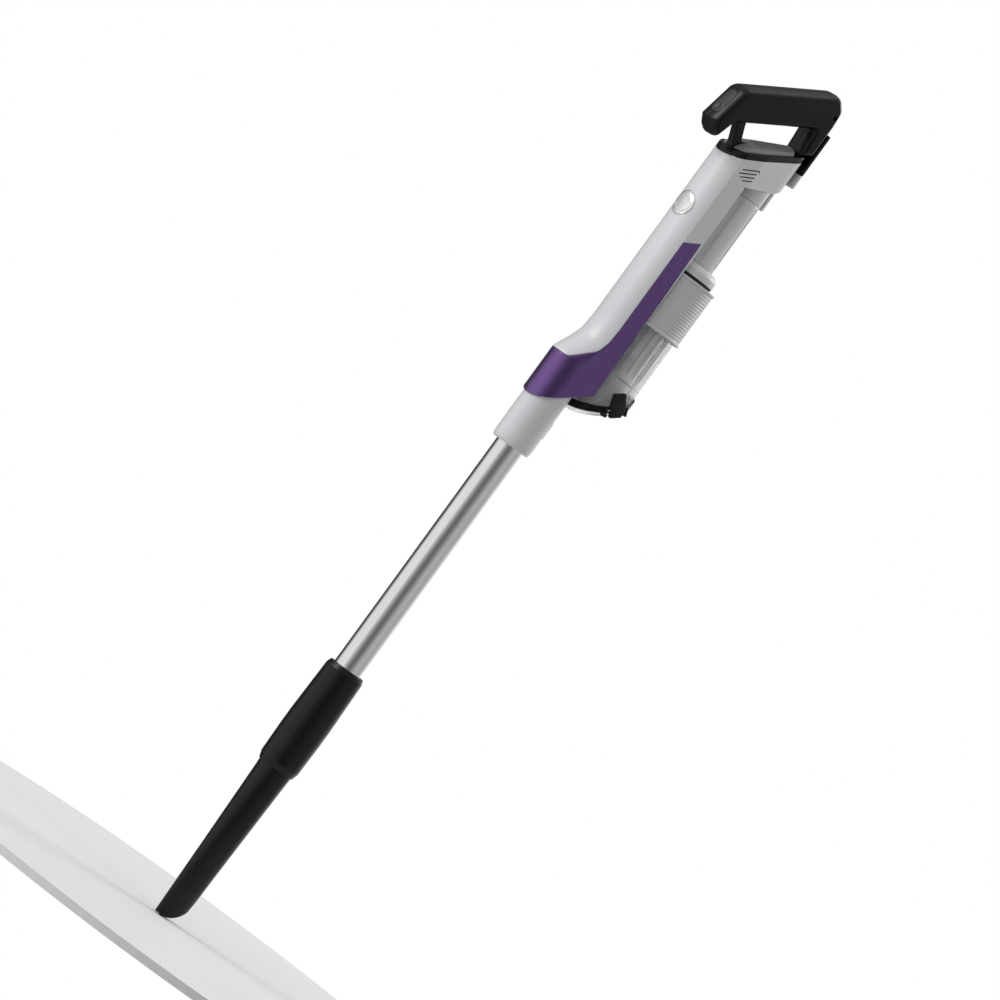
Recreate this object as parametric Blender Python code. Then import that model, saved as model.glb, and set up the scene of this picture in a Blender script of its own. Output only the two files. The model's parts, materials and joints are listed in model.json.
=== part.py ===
"""Cordless stick vacuum with a wand, a crevice tool and a cyclone bin.

Blender 4.5, metres, +Z up. The wand's axis is vertical. The front (display, badge) faces -X,
the dust bin faces +X. The origin is under the middle of the whole vacuum, at the tool's tip.
"""
import math

import bmesh
import bpy
from mathutils import Vector

# ---------------------------------------------------------------- driving dimensions
GAP = 0.0003                      # clearance between touching pieces
ROUND = 32                        # facets round a large turned piece
SMALL_ROUND = 16                  # facets round a small turned piece

# Wand, its lower sleeve and the crevice tool. Heights are measured from the tool's tip.
WAND_R = 0.0175
WAND_WALL = 0.0012
WAND_Z = (0.246, 0.718)
SLEEVE_Z = (0.2095, 0.348)
SLEEVE_R = 0.026
BORE_R = 0.0179
SPIGOT_R = 0.0212
SPIGOT_TOP_Z = 0.238
TOOL_WALL = 0.0018
TOOL_TIP_AXES = (0.0192, 0.0088)
TOOL_NECK_R = 0.0210
TOOL_NECK_Z = 0.203
MOUTH_RISE = 0.0215

# Socket that the wand plugs into, and the push buttons on the wand and on the socket.
SOCKET_R = 0.0249
SOCKET_Z = 0.660
BUTTON_HALF_W = 0.0070
BUTTON_IN_X = 0.0225
BUTTON_OUT_X = 0.0280
BUTTON_POCKET_X = 0.0200
TOOL_BUTTON_Z = (0.2435, 0.2635)
WAND_BUTTON_Z = (0.687, 0.710)

# Main body. Its front is an arc, its sides are flat and its back is a cradle round the bin.
SIDE_Y = 0.0277
REAR_X = 0.0338
FRONT_ARC_R = 0.0350
FRONT_ARC_X = 0.0299
SKIN = 0.0022
TRIM_SKIN = 0.0023
LOW_SLOPE = 0.64                  # rise of the trim's lower edge towards the back
TRIM_LOW_Z = 0.7388               # height of that edge on the wand's axis
STRIPE_X = 0.0083
STRIPE_TOP_Z = 0.960

# Head on top of the body.
TOP_SLOPE = 0.479                 # rise of the head's top towards the back
RING_Z = 1.0724                   # underside of the top ring on the wand's axis
RING_H = 0.0079
RING_W = 0.0050
HEAD_REAR_X = 0.0790
HEAD_REAR_R = 0.0180
HEAD_UNDER_Z = 1.0525
HEAD_UNDER_SLOPE = 0.33
HEAD_CHAMFER_X = 0.0800
VENT_END_X = 0.0380
VENT_STARTS_X = (0.0154, 0.0140, 0.0183, 0.0240)
VENT_TOP_Z = 1.0763
VENT_PITCH = 0.00475
VENT_H = 0.0016

# Handle.
GRIP_SLOPE = 0.527
GRIP_LOW_Z = 1.1138
GRIP_HIGH_Z = 1.1610
GRIP_HALF_W = 0.0180
GRIP_SKIN = 0.0045
GRIP_ROUND = (0.0138, 0.0072)     # across the grip and up it
POST_X = 0.0763
POST_FOOT_X = 0.0797
BACK_X = 0.0990
SHOULDER = (-0.0377, 1.1404)
SHOULDER_CUT = 0.0062
NOSE_TIP = (-0.0496, 1.0915)
LENS_HALF = (0.0172, 0.0086)
LENS_SHIFT = 0.0005               # up the nose's face from its middle
KEY_SHIFT = -0.0100
TONGUE_X = (0.0993, 0.1034)
TONGUE_HALF_W = 0.0148
TONGUE_Z = (1.1040, 1.1600)
CONTACT_LOW_Z = 1.0865
FRONT_STRUT_X = 0.0060
STRUT_L = 0.0297
SCREW_AT = (0.0890, 1.1789)

# Dust bin, cyclone and air column, all round one vertical axis behind the body.
BIN_X = 0.0644
BIN_R = 0.0330
BIN_WALL = 0.0018
BIN_TOP_Z = 0.9337
CRADLE_R = math.hypot(BIN_X - REAR_X, SIDE_Y)
LID_SLOPE = 0.62
LID_Z = 0.7530
LID_H = 0.0048
LID_R = 0.0355
RIM_H = 0.0128
COLLAR_R = 0.0380
COLLAR_LIP_R = 0.0389
COLLAR_Z = (0.862, 0.9337)
COLLAR_OPEN_DEG = 38.0            # half angle of the collar's front opening
SHROUD_R = 0.0270
SHROUD_LOW_Z = 0.794
CAP_Z = (0.940, 0.953)
COLUMN_R = 0.0210
COLUMN_BORE_R = 0.0180
COLUMN_TOP_Z = 1.0446
INLET_Z = 0.800
INLET_R = 0.0115
INLET_SEAM_X = 0.0252
HINGE_Y = 0.0386
HINGE_R = 0.0024
LATCH_Y = (-0.0410, -0.0370)
LATCH_PIVOT = (0.0, -0.0388, 0.0050)         # in the lid's own frame

# Battery and motor.
CELL_R = 0.0092
CELL_H = 0.0650
CELL_X = 0.0094
CELL_Y = 0.0097
CELL_LOW_Z = 0.834
CELL_STEP = 0.0655
MOTOR_X = 0.0470
MOTOR_R = 0.0170

FRAME_X = (NOSE_TIP[0] + TONGUE_X[1]) / 2    # middle of the whole length, front to back
TOP_TILT = math.atan(TOP_SLOPE)
LID_TILT = math.atan(LID_SLOPE)


# ---------------------------------------------------------------- scene and materials
def clear_scene():
    for old in list(bpy.data.objects):
        bpy.data.objects.remove(old, do_unlink=True)


def make_material(name, colour, roughness, metallic=0.0):
    material = bpy.data.materials.new(name)
    material.use_nodes = True
    shader = material.node_tree.nodes["Principled BSDF"]
    shader.inputs["Base Color"].default_value = (*colour, 1.0)
    shader.inputs["Roughness"].default_value = roughness
    shader.inputs["Metallic"].default_value = metallic
    return material


def make_empty(name, location=(0, 0, 0), tilt=0.0, parent=None):
    empty = bpy.data.objects.new(name, None)
    empty.location = location
    empty.rotation_euler = (0, tilt, 0)
    empty.parent = parent
    bpy.context.collection.objects.link(empty)
    return empty


# ---------------------------------------------------------------- mesh helpers
def finish_mesh(name, mesh_data, material, parent, origin=(0, 0, 0), sharp_deg=35):
    """Turns a bmesh into a named object whose origin is at a point of its parent's frame."""
    bmesh.ops.recalc_face_normals(mesh_data, faces=mesh_data.faces[:])
    bmesh.ops.translate(mesh_data, verts=mesh_data.verts[:], vec=-Vector(origin))
    mesh = bpy.data.meshes.new(name)
    mesh_data.to_mesh(mesh)
    mesh_data.free()
    mesh.materials.append(material)
    mesh.shade_smooth()
    mesh.set_sharp_from_angle(angle=math.radians(sharp_deg))
    piece = bpy.data.objects.new(name, mesh)
    piece.location = origin
    piece.parent = parent
    bpy.context.collection.objects.link(piece)
    return piece


def bridge(mesh_data, ring_a, ring_b):
    """Joins two rings of vertices with faces. A ring of one vertex is a pole."""
    count = max(len(ring_a), len(ring_b))
    for i in range(count):
        j = (i + 1) % count
        corners = [ring_a[i % len(ring_a)], ring_a[j % len(ring_a)],
                   ring_b[j % len(ring_b)], ring_b[i % len(ring_b)]]
        unique = list(dict.fromkeys(corners))
        if len(unique) > 2:
            mesh_data.faces.new(unique)


def loft_mesh(rings, closed):
    """A skin through rings of points. Closed joins the last ring to the first, else it is capped."""
    mesh_data = bmesh.new()
    rows = [[mesh_data.verts.new(p) for p in ring] for ring in rings]
    for row_a, row_b in zip(rows, rows[1:]):
        bridge(mesh_data, row_a, row_b)
    if closed:
        bridge(mesh_data, rows[-1], rows[0])
    else:
        for row in (rows[0], rows[-1]):
            if len(row) > 2:
                mesh_data.faces.new(row)
    return mesh_data


def loft(name, rings, material, parent, closed=False, **options):
    return finish_mesh(name, loft_mesh(rings, closed), material, parent, **options)


def circle(x, y, radius, z, slope=0.0, count=ROUND):
    """A ring round a vertical axis, in a plane that rises along +X by slope."""
    if radius <= 0:
        return [(x, y, z)]
    points = []
    for i in range(count):
        angle = 2 * math.pi * i / count
        dx = radius * math.cos(angle)
        points.append((x + dx, y + radius * math.sin(angle), z + slope * dx))
    return points


def lathe(name, profile, material, parent, centre=(0, 0), count=ROUND, **options):
    """Turns a closed (radius, height) profile round a vertical axis."""
    rings = [circle(centre[0], centre[1], r, z, 0.0, count) for r, z in profile]
    on_axis = profile[0][0] <= 0 and profile[-1][0] <= 0
    return loft(name, rings, material, parent, closed=not on_axis, **options)


def slanted_tube(name, profile, material, parent, slope, **options):
    """A tube round the bin's axis whose profile points are (radius, height, slope share)."""
    rings = [circle(BIN_X, 0, r, z, slope * share) for r, z, share in profile]
    on_axis = profile[0][0] <= 0
    return loft(name, rings, material, parent, closed=not on_axis, **options)


def prism(name, outline, y_range, material, parent, **options):
    """An outline in the XZ plane, extruded along Y."""
    rings = [[(x, y, z) for x, z in outline] for y in y_range]
    return loft(name, rings, material, parent, **options)


def plate(name, outline, z_range, material, parent, **options):
    """An outline in the XY plane, extruded along Z."""
    rings = [[(x, y, z) for x, y in outline] for z in z_range]
    return loft(name, rings, material, parent, **options)


def box_outline(x_range, y_range):
    (x0, x1), (y0, y1) = x_range, y_range
    return [(x0, y0), (x1, y0), (x1, y1), (x0, y1)]


def box(name, x_range, y_range, z_range, material, parent, **options):
    return plate(name, box_outline(x_range, y_range), z_range, material, parent, **options)


def rounded_outline(x_half, y_half, radius, steps=4):
    """A rectangle round the origin, with rounded corners."""
    points = []
    for quarter, (sx, sy) in enumerate(((1, 1), (-1, 1), (-1, -1), (1, -1))):
        for i in range(steps + 1):
            angle = math.pi / 2 * (quarter + i / steps)
            points.append((sx * (x_half - radius) + radius * math.cos(angle),
                           sy * (y_half - radius) + radius * math.sin(angle)))
    return points


def inset_outline(outline, distance):
    """Moves each side of a polygon inwards. The outline runs clockwise seen from -Y."""
    count = len(outline)
    area = sum(outline[i][0] * outline[(i + 1) % count][1] -
               outline[(i + 1) % count][0] * outline[i][1] for i in range(count))
    turn = 1 if area > 0 else -1
    points = []
    for i in range(count):
        before, here, after = (Vector(outline[k % count]) for k in (i - 1, i, i + 1))
        in_dir = (here - before).normalized()
        out_dir = (after - here).normalized()
        normal_in = Vector((-in_dir.y, in_dir.x)) * turn
        normal_out = Vector((-out_dir.y, out_dir.x)) * turn
        bisector = (normal_in + normal_out).normalized()
        points.append(tuple(here + bisector * distance / bisector.dot(normal_in)))
    return points


def as_cutter(piece):
    piece.hide_render = True
    piece.display_type = "WIRE"
    return piece


def combine(piece, cutter, operation="DIFFERENCE"):
    modifier = piece.modifiers.new(cutter.name, "BOOLEAN")
    modifier.solver = "EXACT"
    modifier.operation = operation
    modifier.object = as_cutter(cutter)


def round_edges(piece, width, segments=2, angle_deg=35):
    modifier = piece.modifiers.new("rounded_edges", "BEVEL")
    modifier.width = width
    modifier.segments = segments
    modifier.limit_method = "ANGLE"
    modifier.angle_limit = math.radians(angle_deg)


# ---------------------------------------------------------------- shared outlines and planes
def arc_outline(centre_x, radius, half_width, rear_x, steps=12):
    """A plan outline: a front arc, two flat sides and a straight back."""
    spread = math.asin(min(1.0, half_width / radius))
    points = [(rear_x, -half_width)]
    for i in range(steps + 1):
        angle = spread * (2 * i / steps - 1)
        points.append((centre_x - radius * math.cos(angle), radius * math.sin(angle)))
    points.append((rear_x, half_width))
    return points


def body_outline(share, front_inset=0.0, side_inset=0.0, rear_x=REAR_X):
    """The body's plan. Share 0 is the round lower end, share 1 the flatter column."""
    radius = SIDE_Y + (FRONT_ARC_R - SIDE_Y) * share - front_inset
    return arc_outline(FRONT_ARC_X * share, radius, SIDE_Y - side_inset, rear_x)


def head_outline(inset=0.0, front_steps=12, rear_steps=8):
    """The head's plan: the column's front, sides that taper, and a round back."""
    radius = FRONT_ARC_R - inset
    half_width = SIDE_Y - inset
    spread = math.asin(half_width / radius)
    points = []
    for i in range(front_steps + 1):
        angle = spread * (2 * i / front_steps - 1)
        points.append((FRONT_ARC_X - radius * math.cos(angle), radius * math.sin(angle)))
    points.append((REAR_X, half_width))
    rear_radius = HEAD_REAR_R - 0.8 * inset
    for i in range(rear_steps + 1):
        angle = math.radians(78) * (1 - 2 * i / rear_steps)
        points.append((HEAD_REAR_X + rear_radius * math.cos(angle), rear_radius * math.sin(angle)))
    points.append((REAR_X, -half_width))
    return points


def on_plane(outline, height, slope):
    return [(x, y, height + slope * x) for x, y in outline]


def under_head(x, lift=0.0):
    """Height of the head's sloping underside."""
    return HEAD_UNDER_Z + lift + HEAD_UNDER_SLOPE * (x - REAR_X)


# The flare of the body's front: (height, share) from the round end up to the column.
FLARE = ((0.7795, 0.0), (0.786, 0.13), (0.794, 0.36), (0.806, 0.67), (0.817, 0.89),
         (0.828, 0.96), (0.842, 1.0))


def body_loft(name, low_height, material, parent, front_inset=0.0, side_inset=0.0, rear_x=REAR_X):
    """The body's whole outer shape, from a slanted lower end to the head's slanted top."""
    plan = body_outline(0.0, front_inset, side_inset, rear_x)
    rings = [on_plane(plan, low_height, LOW_SLOPE)]
    for height, share in FLARE:
        plan = body_outline(share, front_inset, side_inset, rear_x)
        rings.append(on_plane(plan, height, 0.0))
    rings.append(on_plane(plan, RING_Z - GAP, TOP_SLOPE))
    return loft(name, rings, material, parent)


def trim_region(name, grow, material, parent):
    """The side view of the coloured trim, as a block right across the body."""
    outline = [(-0.035, TRIM_LOW_Z - 0.035 * LOW_SLOPE), (0.040, TRIM_LOW_Z + 0.040 * LOW_SLOPE),
               (0.040, STRIPE_TOP_Z + (0.040 - STRIPE_X) * TOP_SLOPE), (STRIPE_X, STRIPE_TOP_Z),
               (STRIPE_X, 0.829), (0.0062, 0.817), (0.0037, 0.809), (-0.0006, 0.803),
               (-0.0071, 0.7975), (-0.0174, 0.788), (-0.0247, 0.7815), (-0.035, 0.7795)]
    if grow:
        outline = inset_outline(outline, -grow)
    return prism(name, outline, (-0.040, 0.040), material, parent)


# ---------------------------------------------------------------- wand and crevice tool
def tool_ring(height, inset=0.0, mouth=False):
    """One oval section of the crevice tool. The mouth is slanted and round-nosed."""
    share = min(1.0, height / TOOL_NECK_Z)
    long_axis = TOOL_TIP_AXES[0] + (TOOL_NECK_R - TOOL_TIP_AXES[0]) * share - inset
    short_axis = TOOL_TIP_AXES[1] + (TOOL_NECK_R - TOOL_TIP_AXES[1]) * share - inset
    points = []
    for i in range(ROUND):
        angle = 2 * math.pi * i / ROUND
        x = long_axis * math.cos(angle)
        along = (x / long_axis + 1) / 2
        nose = 0.0040 * max(0.0, 1 - along / 0.15) ** 2
        z = MOUTH_RISE * along ** 2.2 + nose if mouth else height
        points.append((x, short_axis * math.sin(angle), z))
    if mouth:
        lowest = min(point[2] for point in points)
        points = [(x, y, z - lowest) for x, y, z in points]
    return points


def build_crevice_tool(material, parent):
    heights = (0.035, 0.080, 0.130, TOOL_NECK_Z)
    rings = [tool_ring(0.0, mouth=True)]
    rings += [tool_ring(height) for height in heights]
    rings += [circle(0, 0, SPIGOT_R, 0.2050), circle(0, 0, SPIGOT_R, SPIGOT_TOP_Z)]
    rings += [circle(0, 0, SPIGOT_R - TOOL_WALL, SPIGOT_TOP_Z)]
    rings += [tool_ring(height, TOOL_WALL) for height in reversed(heights)]
    rings += [tool_ring(0.0, TOOL_WALL, mouth=True)]
    return loft("crevice_tool", rings, material, parent, closed=True)


def build_button(name, z_range, material, parent):
    """A push button on the +X side, which travels towards the wand."""
    low, high = z_range
    button = box(name, (BUTTON_IN_X, BUTTON_OUT_X), (-BUTTON_HALF_W, BUTTON_HALF_W), z_range,
                 material, parent, origin=(BUTTON_IN_X, 0, (low + high) / 2))
    round_edges(button, 0.0012)


def cut_button_pocket(piece, z_range, material, parent):
    low, high = z_range
    reach = BUTTON_HALF_W + GAP
    pocket = box("cut_" + piece.name, (BUTTON_POCKET_X, 0.032), (-reach, reach),
                 (low - GAP, high + GAP), material, parent)
    combine(piece, pocket)


def build_wand(materials, parent):
    inner = WAND_R - WAND_WALL
    low, high = WAND_Z
    lathe("wand_tube", [(WAND_R, low), (WAND_R, high), (inner, high), (inner, low)],
          materials["chrome"], parent)
    bottom, top = SLEEVE_Z
    profile = [(0.0226, bottom), (0.0252, bottom + 0.0085), (SLEEVE_R, bottom + 0.050),
               (SLEEVE_R, 0.275), (0.0243, top - 0.006), (0.0220, top), (BORE_R, top),
               (BORE_R, 0.2430), (0.0216, 0.2400), (0.0216, bottom)]
    sleeve = lathe("tool_sleeve", profile, materials["black"], parent)
    cut_button_pocket(sleeve, TOOL_BUTTON_Z, materials["black"], parent)
    build_button("tool_release_button", TOOL_BUTTON_Z, materials["black"], parent)


def build_wand_socket(materials, parent):
    """The light plastic socket that the wand plugs into. Its top is slanted like the trim."""
    seat = TRIM_LOW_Z + 0.0065
    throat = 0.0120
    profile = ((0.0226, SOCKET_Z, 0), (0.0242, SOCKET_Z + 0.0022, 0), (SOCKET_R, 0.667, 0),
               (SOCKET_R, seat, LOW_SLOPE), (throat, seat, LOW_SLOPE), (throat, 0.7225, 0),
               (BORE_R, 0.7215, 0), (BORE_R, SOCKET_Z, 0))
    rings = [circle(0, 0, r, z, slope) for r, z, slope in profile]
    socket = loft("wand_socket", rings, materials["body"], parent, closed=True)
    cut_button_pocket(socket, WAND_BUTTON_Z, materials["body"], parent)
    build_button("wand_release_button", WAND_BUTTON_Z, materials["body"], parent)


def ring_across(centre, direction, radius, count=SMALL_ROUND):
    """A ring round a point, square to a direction in the XZ plane."""
    side = Vector((0, 1, 0))
    up = Vector(direction).cross(side)
    return [tuple(Vector(centre) + side * radius * math.cos(2 * math.pi * i / count) +
                  up * radius * math.sin(2 * math.pi * i / count)) for i in range(count)]


def x_tube(name, x_range, y, z, radius, bore, material, parent, count=SMALL_ROUND, **options):
    """A tube, or a rod where the bore is 0, along the X axis of its parent."""
    x0, x1 = x_range
    axis = (1, 0, 0)
    rings = [ring_across((x0, y, z), axis, radius, count), ring_across((x1, y, z), axis, radius, count)]
    if bore:
        rings += [ring_across((x1, y, z), axis, bore, count), ring_across((x0, y, z), axis, bore, count)]
    return loft(name, rings, material, parent, closed=bool(bore), **options)


def build_inlet(materials, parent):
    """An elbow that turns the wand's air into the bin, and the bin's own short spout."""
    end_x = INLET_SEAM_X - 0.0002
    start_z = INLET_Z - end_x
    steps = 6
    stations = [((0, 0, 0.7570), (0, 0, 1))]
    for i in range(steps + 1):
        angle = math.pi / 2 * i / steps
        centre = (end_x * (1 - math.cos(angle)), 0, start_z + end_x * math.sin(angle))
        stations.append((centre, (math.sin(angle), 0, math.cos(angle))))
    bore = INLET_R - 0.0017
    rings = [ring_across(centre, heading, INLET_R) for centre, heading in stations]
    rings += [ring_across(centre, heading, bore) for centre, heading in reversed(stations)]
    loft("inlet_elbow", rings, materials["dark"], parent, closed=True)
    x_tube("bin_inlet_spout", (INLET_SEAM_X + 0.0002, 0.0310), 0, INLET_Z, INLET_R, bore,
           materials["clear"], parent)


# ---------------------------------------------------------------- main body and head
def under_head_cutter(name, lift, front_x, material, parent):
    """Takes away everything below the head's sloping underside, behind the column."""
    chamfer_z = under_head(HEAD_CHAMFER_X, lift)
    outline = [(front_x, under_head(front_x, lift)), (HEAD_CHAMFER_X, chamfer_z),
               (0.120, chamfer_z + 0.027), (0.120, 1.000), (front_x, 1.000)]
    return prism(name, outline, (-0.050, 0.050), material, parent)


def build_housing(materials, parent):
    body = materials["body"]
    low = TRIM_LOW_Z + 0.0090
    housing = body_loft("main_housing", low, body, parent)
    head_plan = head_outline()
    head = loft("add_head", [on_plane(head_plan, 1.030, 0.0),
                             on_plane(head_plan, RING_Z - GAP, TOP_SLOPE)], body, parent)
    combine(head, under_head_cutter("cut_under_head", 0.0, REAR_X, body, parent))
    combine(housing, head, "UNION")

    cavity_plan = [(0.7200, 0.0, 0.0048), (0.7795, 0.0, 0.0048)]
    cavity_plan += [(height, share, 0.0048) for height, share in FLARE[1:6]]
    cavity_plan += [(0.8320, 1.0, 0.0024), (1.1500, 1.0, 0.0024)]
    rings = [on_plane(body_outline(share, inset, 0.0048, REAR_X + 0.0005), height, 0.0)
             for height, share, inset in cavity_plan]
    combine(housing, loft("cut_column", rings, body, parent))

    inner_plan = head_outline(SKIN)
    inner_head = loft("cut_head", [on_plane(inner_plan, 1.0565, 0.0),
                                   on_plane(inner_plan, 1.1600, 0.0)], body, parent)
    combine(inner_head, under_head_cutter("cut_head_floor", SKIN, 0.0300, body, parent))
    combine(housing, inner_head)

    depth = TRIM_SKIN + 0.0009
    recess = trim_region("cut_trim_recess", GAP, body, parent)
    combine(recess, body_loft("cut_trim_core", TRIM_LOW_Z - 0.020, body, parent,
                              depth, depth, REAR_X + 0.012))
    combine(housing, recess)

    for i, start_x in enumerate(VENT_STARTS_X):
        end_z = VENT_TOP_Z - i * VENT_PITCH
        start_z = end_z - TOP_SLOPE * (VENT_END_X - start_x)
        slot = [(start_x, start_z), (VENT_END_X, end_z),
                (VENT_END_X, end_z + VENT_H), (start_x, start_z + VENT_H)]
        combine(housing, prism(f"cut_vent_{i + 1}", slot, (-0.040, 0.040), body, parent))
    cradle = [(0.0, 0.700), (CRADLE_R, 0.700), (CRADLE_R, 1.0515), (0.0, 1.0515)]
    combine(housing, lathe("cut_cradle", cradle, body, parent, (BIN_X, 0), 2 * ROUND))
    air_hole = [(0.0, 1.050), (0.0120, 1.050), (0.0120, 1.075), (0.0, 1.075)]
    combine(housing, lathe("cut_air_hole", air_hole, body, parent, (BIN_X, 0), SMALL_ROUND))


def build_side_trim(materials, parent):
    trim = body_loft("side_trim", TRIM_LOW_Z, materials["purple"], parent)
    combine(trim, trim_region("keep_trim", 0.0, materials["purple"], parent), "INTERSECT")
    core = body_loft("cut_trim_inside", TRIM_LOW_Z - 0.020, materials["purple"], parent,
                     TRIM_SKIN, TRIM_SKIN, REAR_X + 0.012)
    combine(trim, core)


def build_cradle_panel(materials, parent):
    """The concave back of the body, behind which the bin stands."""
    half_width = 0.0226
    steps = 12
    plan = []
    for radius, turn in ((CRADLE_R, 1), (CRADLE_R + SKIN, -1)):
        spread = math.asin(half_width / radius)
        for i in range(steps + 1):
            angle = turn * spread * (2 * i / steps - 1)
            plan.append((BIN_X - radius * math.cos(angle), radius * math.sin(angle)))
    low = TRIM_LOW_Z + 0.0090
    rings = [on_plane(plan, low, LOW_SLOPE), on_plane(plan, 1.0518, 0.0)]
    panel = loft("cradle_panel", rings, materials["body"], parent)
    hole = x_tube("cut_inlet_hole", (0.015, 0.040), 0, INLET_Z, INLET_R + 0.0010, 0,
                  materials["body"], parent)
    combine(panel, hole)


def build_badge(materials, parent):
    """A plain round badge that follows the curve of the body's front."""
    centre_z = 0.998
    radius = 0.0158

    def ring(share, surface_r):
        if share == 0:
            return [(FRONT_ARC_X - surface_r, 0, centre_z)]
        points = []
        for i in range(ROUND):
            angle = 2 * math.pi * i / ROUND
            y = share * radius * math.cos(angle)
            x = FRONT_ARC_X - math.sqrt(surface_r ** 2 - y ** 2)
            points.append((x, y, centre_z + share * radius * math.sin(angle)))
        return points

    back = FRONT_ARC_R + GAP
    face = FRONT_ARC_R + 0.0012
    rings = [ring(0, back), ring(0.5, back), ring(1, back),
             ring(1, face), ring(0.5, face), ring(0, face)]
    loft("front_badge", rings, materials["badge"], parent)


def ring_top(x):
    return RING_Z + RING_H + TOP_SLOPE * x


def build_top_ring(materials, parent):
    outer, inner = head_outline(), head_outline(RING_W)
    top = RING_Z + RING_H
    rings = [on_plane(outer, RING_Z, TOP_SLOPE), on_plane(outer, top, TOP_SLOPE),
             on_plane(inner, top, TOP_SLOPE), on_plane(inner, RING_Z, TOP_SLOPE)]
    ring = loft("top_ring", rings, materials["black"], parent, closed=True)
    low, high = RING_Z + 0.0004, top - 0.0002
    tab = [(-0.0020, low - 0.0020 * TOP_SLOPE), (0.0150, low + 0.0150 * TOP_SLOPE),
           (0.0150, high + 0.0150 * TOP_SLOPE), (-0.0020, high - 0.0020 * TOP_SLOPE)]
    combine(ring, prism("add_strut_tab", tab, (-0.0080, 0.0080), materials["black"], parent), "UNION")


def build_grille(materials, parent):
    """A slotted dome over the exhaust, inside the top ring."""
    edge = RING_W + GAP
    outer = ((edge, 0.0010), (edge, 0.0090), (0.0080, 0.0125), (0.0130, 0.0146), (0.0190, 0.0154))
    inner = ((0.0190, 0.0138), (0.0140, 0.0130), (0.0095, 0.0112), (0.0070, 0.0085), (0.0070, 0.0010))
    rings = [on_plane(head_outline(inset), RING_Z + lift, TOP_SLOPE) for inset, lift in outer + inner]
    shell_mesh = bmesh.new()
    rows = [[shell_mesh.verts.new(p) for p in ring] for ring in rings]
    for i, (row_a, row_b) in enumerate(zip(rows, rows[1:])):
        if i != len(outer) - 1:
            bridge(shell_mesh, row_a, row_b)
    bridge(shell_mesh, rows[-1], rows[0])
    shell_mesh.faces.new(rows[len(outer) - 1])
    shell_mesh.faces.new(rows[len(outer)])
    grille = finish_mesh("exhaust_grille", shell_mesh, materials["grille"], parent)
    notch = box("cut_strut_notch", (-0.010, 0.0155), (-0.0085, 0.0085), (1.050, 1.110),
                materials["grille"], parent)
    combine(grille, notch)
    under_post = box("cut_under_post", (POST_FOOT_X - 0.0008, 0.110), (-0.030, 0.030), (1.050, 1.200),
                      materials["grille"], parent)
    combine(grille, under_post)
    for i in range(-3, 4):
        reach = 0.024 - 0.0022 * abs(i)
        slot = box(f"cut_slot_{i + 4}", (0.048 - reach, 0.048 + reach),
                   (0.0034 * i - 0.0008, 0.0034 * i + 0.0008), (1.060, 1.140),
                   materials["grille"], parent)
        combine(grille, slot)


# ---------------------------------------------------------------- handle
def grip_top(x):
    return GRIP_HIGH_Z + GRIP_SLOPE * x


def grip_low(x):
    return GRIP_LOW_Z + GRIP_SLOPE * x


def on_way(start, end, distance):
    """The point a distance along the way from start to end."""
    share = distance / math.hypot(end[0] - start[0], end[1] - start[1])
    return start[0] + share * (end[0] - start[0]), start[1] + share * (end[1] - start[1])


def handle_outline():
    """The handle's side view: grip, rear post and nose."""
    foot = GAP + 0.0002
    top_back = (0.0765, grip_top(0.0765))
    shoulder = [on_way(SHOULDER, NOSE_TIP, SHOULDER_CUT), on_way(SHOULDER, top_back, SHOULDER_CUT)]
    return shoulder + [top_back, (0.0900, 1.2005), (0.0962, 1.1900), (BACK_X, 1.1720),
                       (BACK_X, ring_top(BACK_X) + foot), (POST_FOOT_X, ring_top(POST_FOOT_X) + foot),
                       (POST_X, grip_low(POST_X)), (-0.0195, grip_low(-0.0195)),
                       (-0.0248, 1.0965), (-0.0325, 1.0750), (-0.0420, 1.0808), NOSE_TIP]


def grip_levels(steps=3):
    """The grip's rounding: distance from the middle plane, and how far the outline moves in."""
    across, up = GRIP_ROUND
    turns = [math.pi / 2 * k / steps for k in range(steps + 1)]
    return [(GRIP_HALF_W - across * (1 - math.sin(turn)), up * (1 - math.cos(turn)))
            for turn in turns]


def handle_half(name, side, materials, parent):
    """One moulded half of the handle, hollow, with its seam on the middle plane."""
    black = materials["black"]
    outline = handle_outline()
    levels = [(GAP / 2, 0.0)] + grip_levels()
    rings = [[(x, side * y, z) for x, z in inset_outline(outline, inset)] for y, inset in levels]
    half = finish_mesh(name, loft_mesh(rings, closed=False), black, parent)
    hollow = prism("cut_" + name, inset_outline(outline, GRIP_SKIN),
                   (-side * 0.0020, side * (GRIP_HALF_W - 0.0030)), black, parent)
    combine(half, hollow)
    return half


def stadium(half_length, half_width, shift=0.0):
    return [(x + shift, y) for x, y in rounded_outline(half_length, half_width, half_width - 0.0005)]


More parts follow.
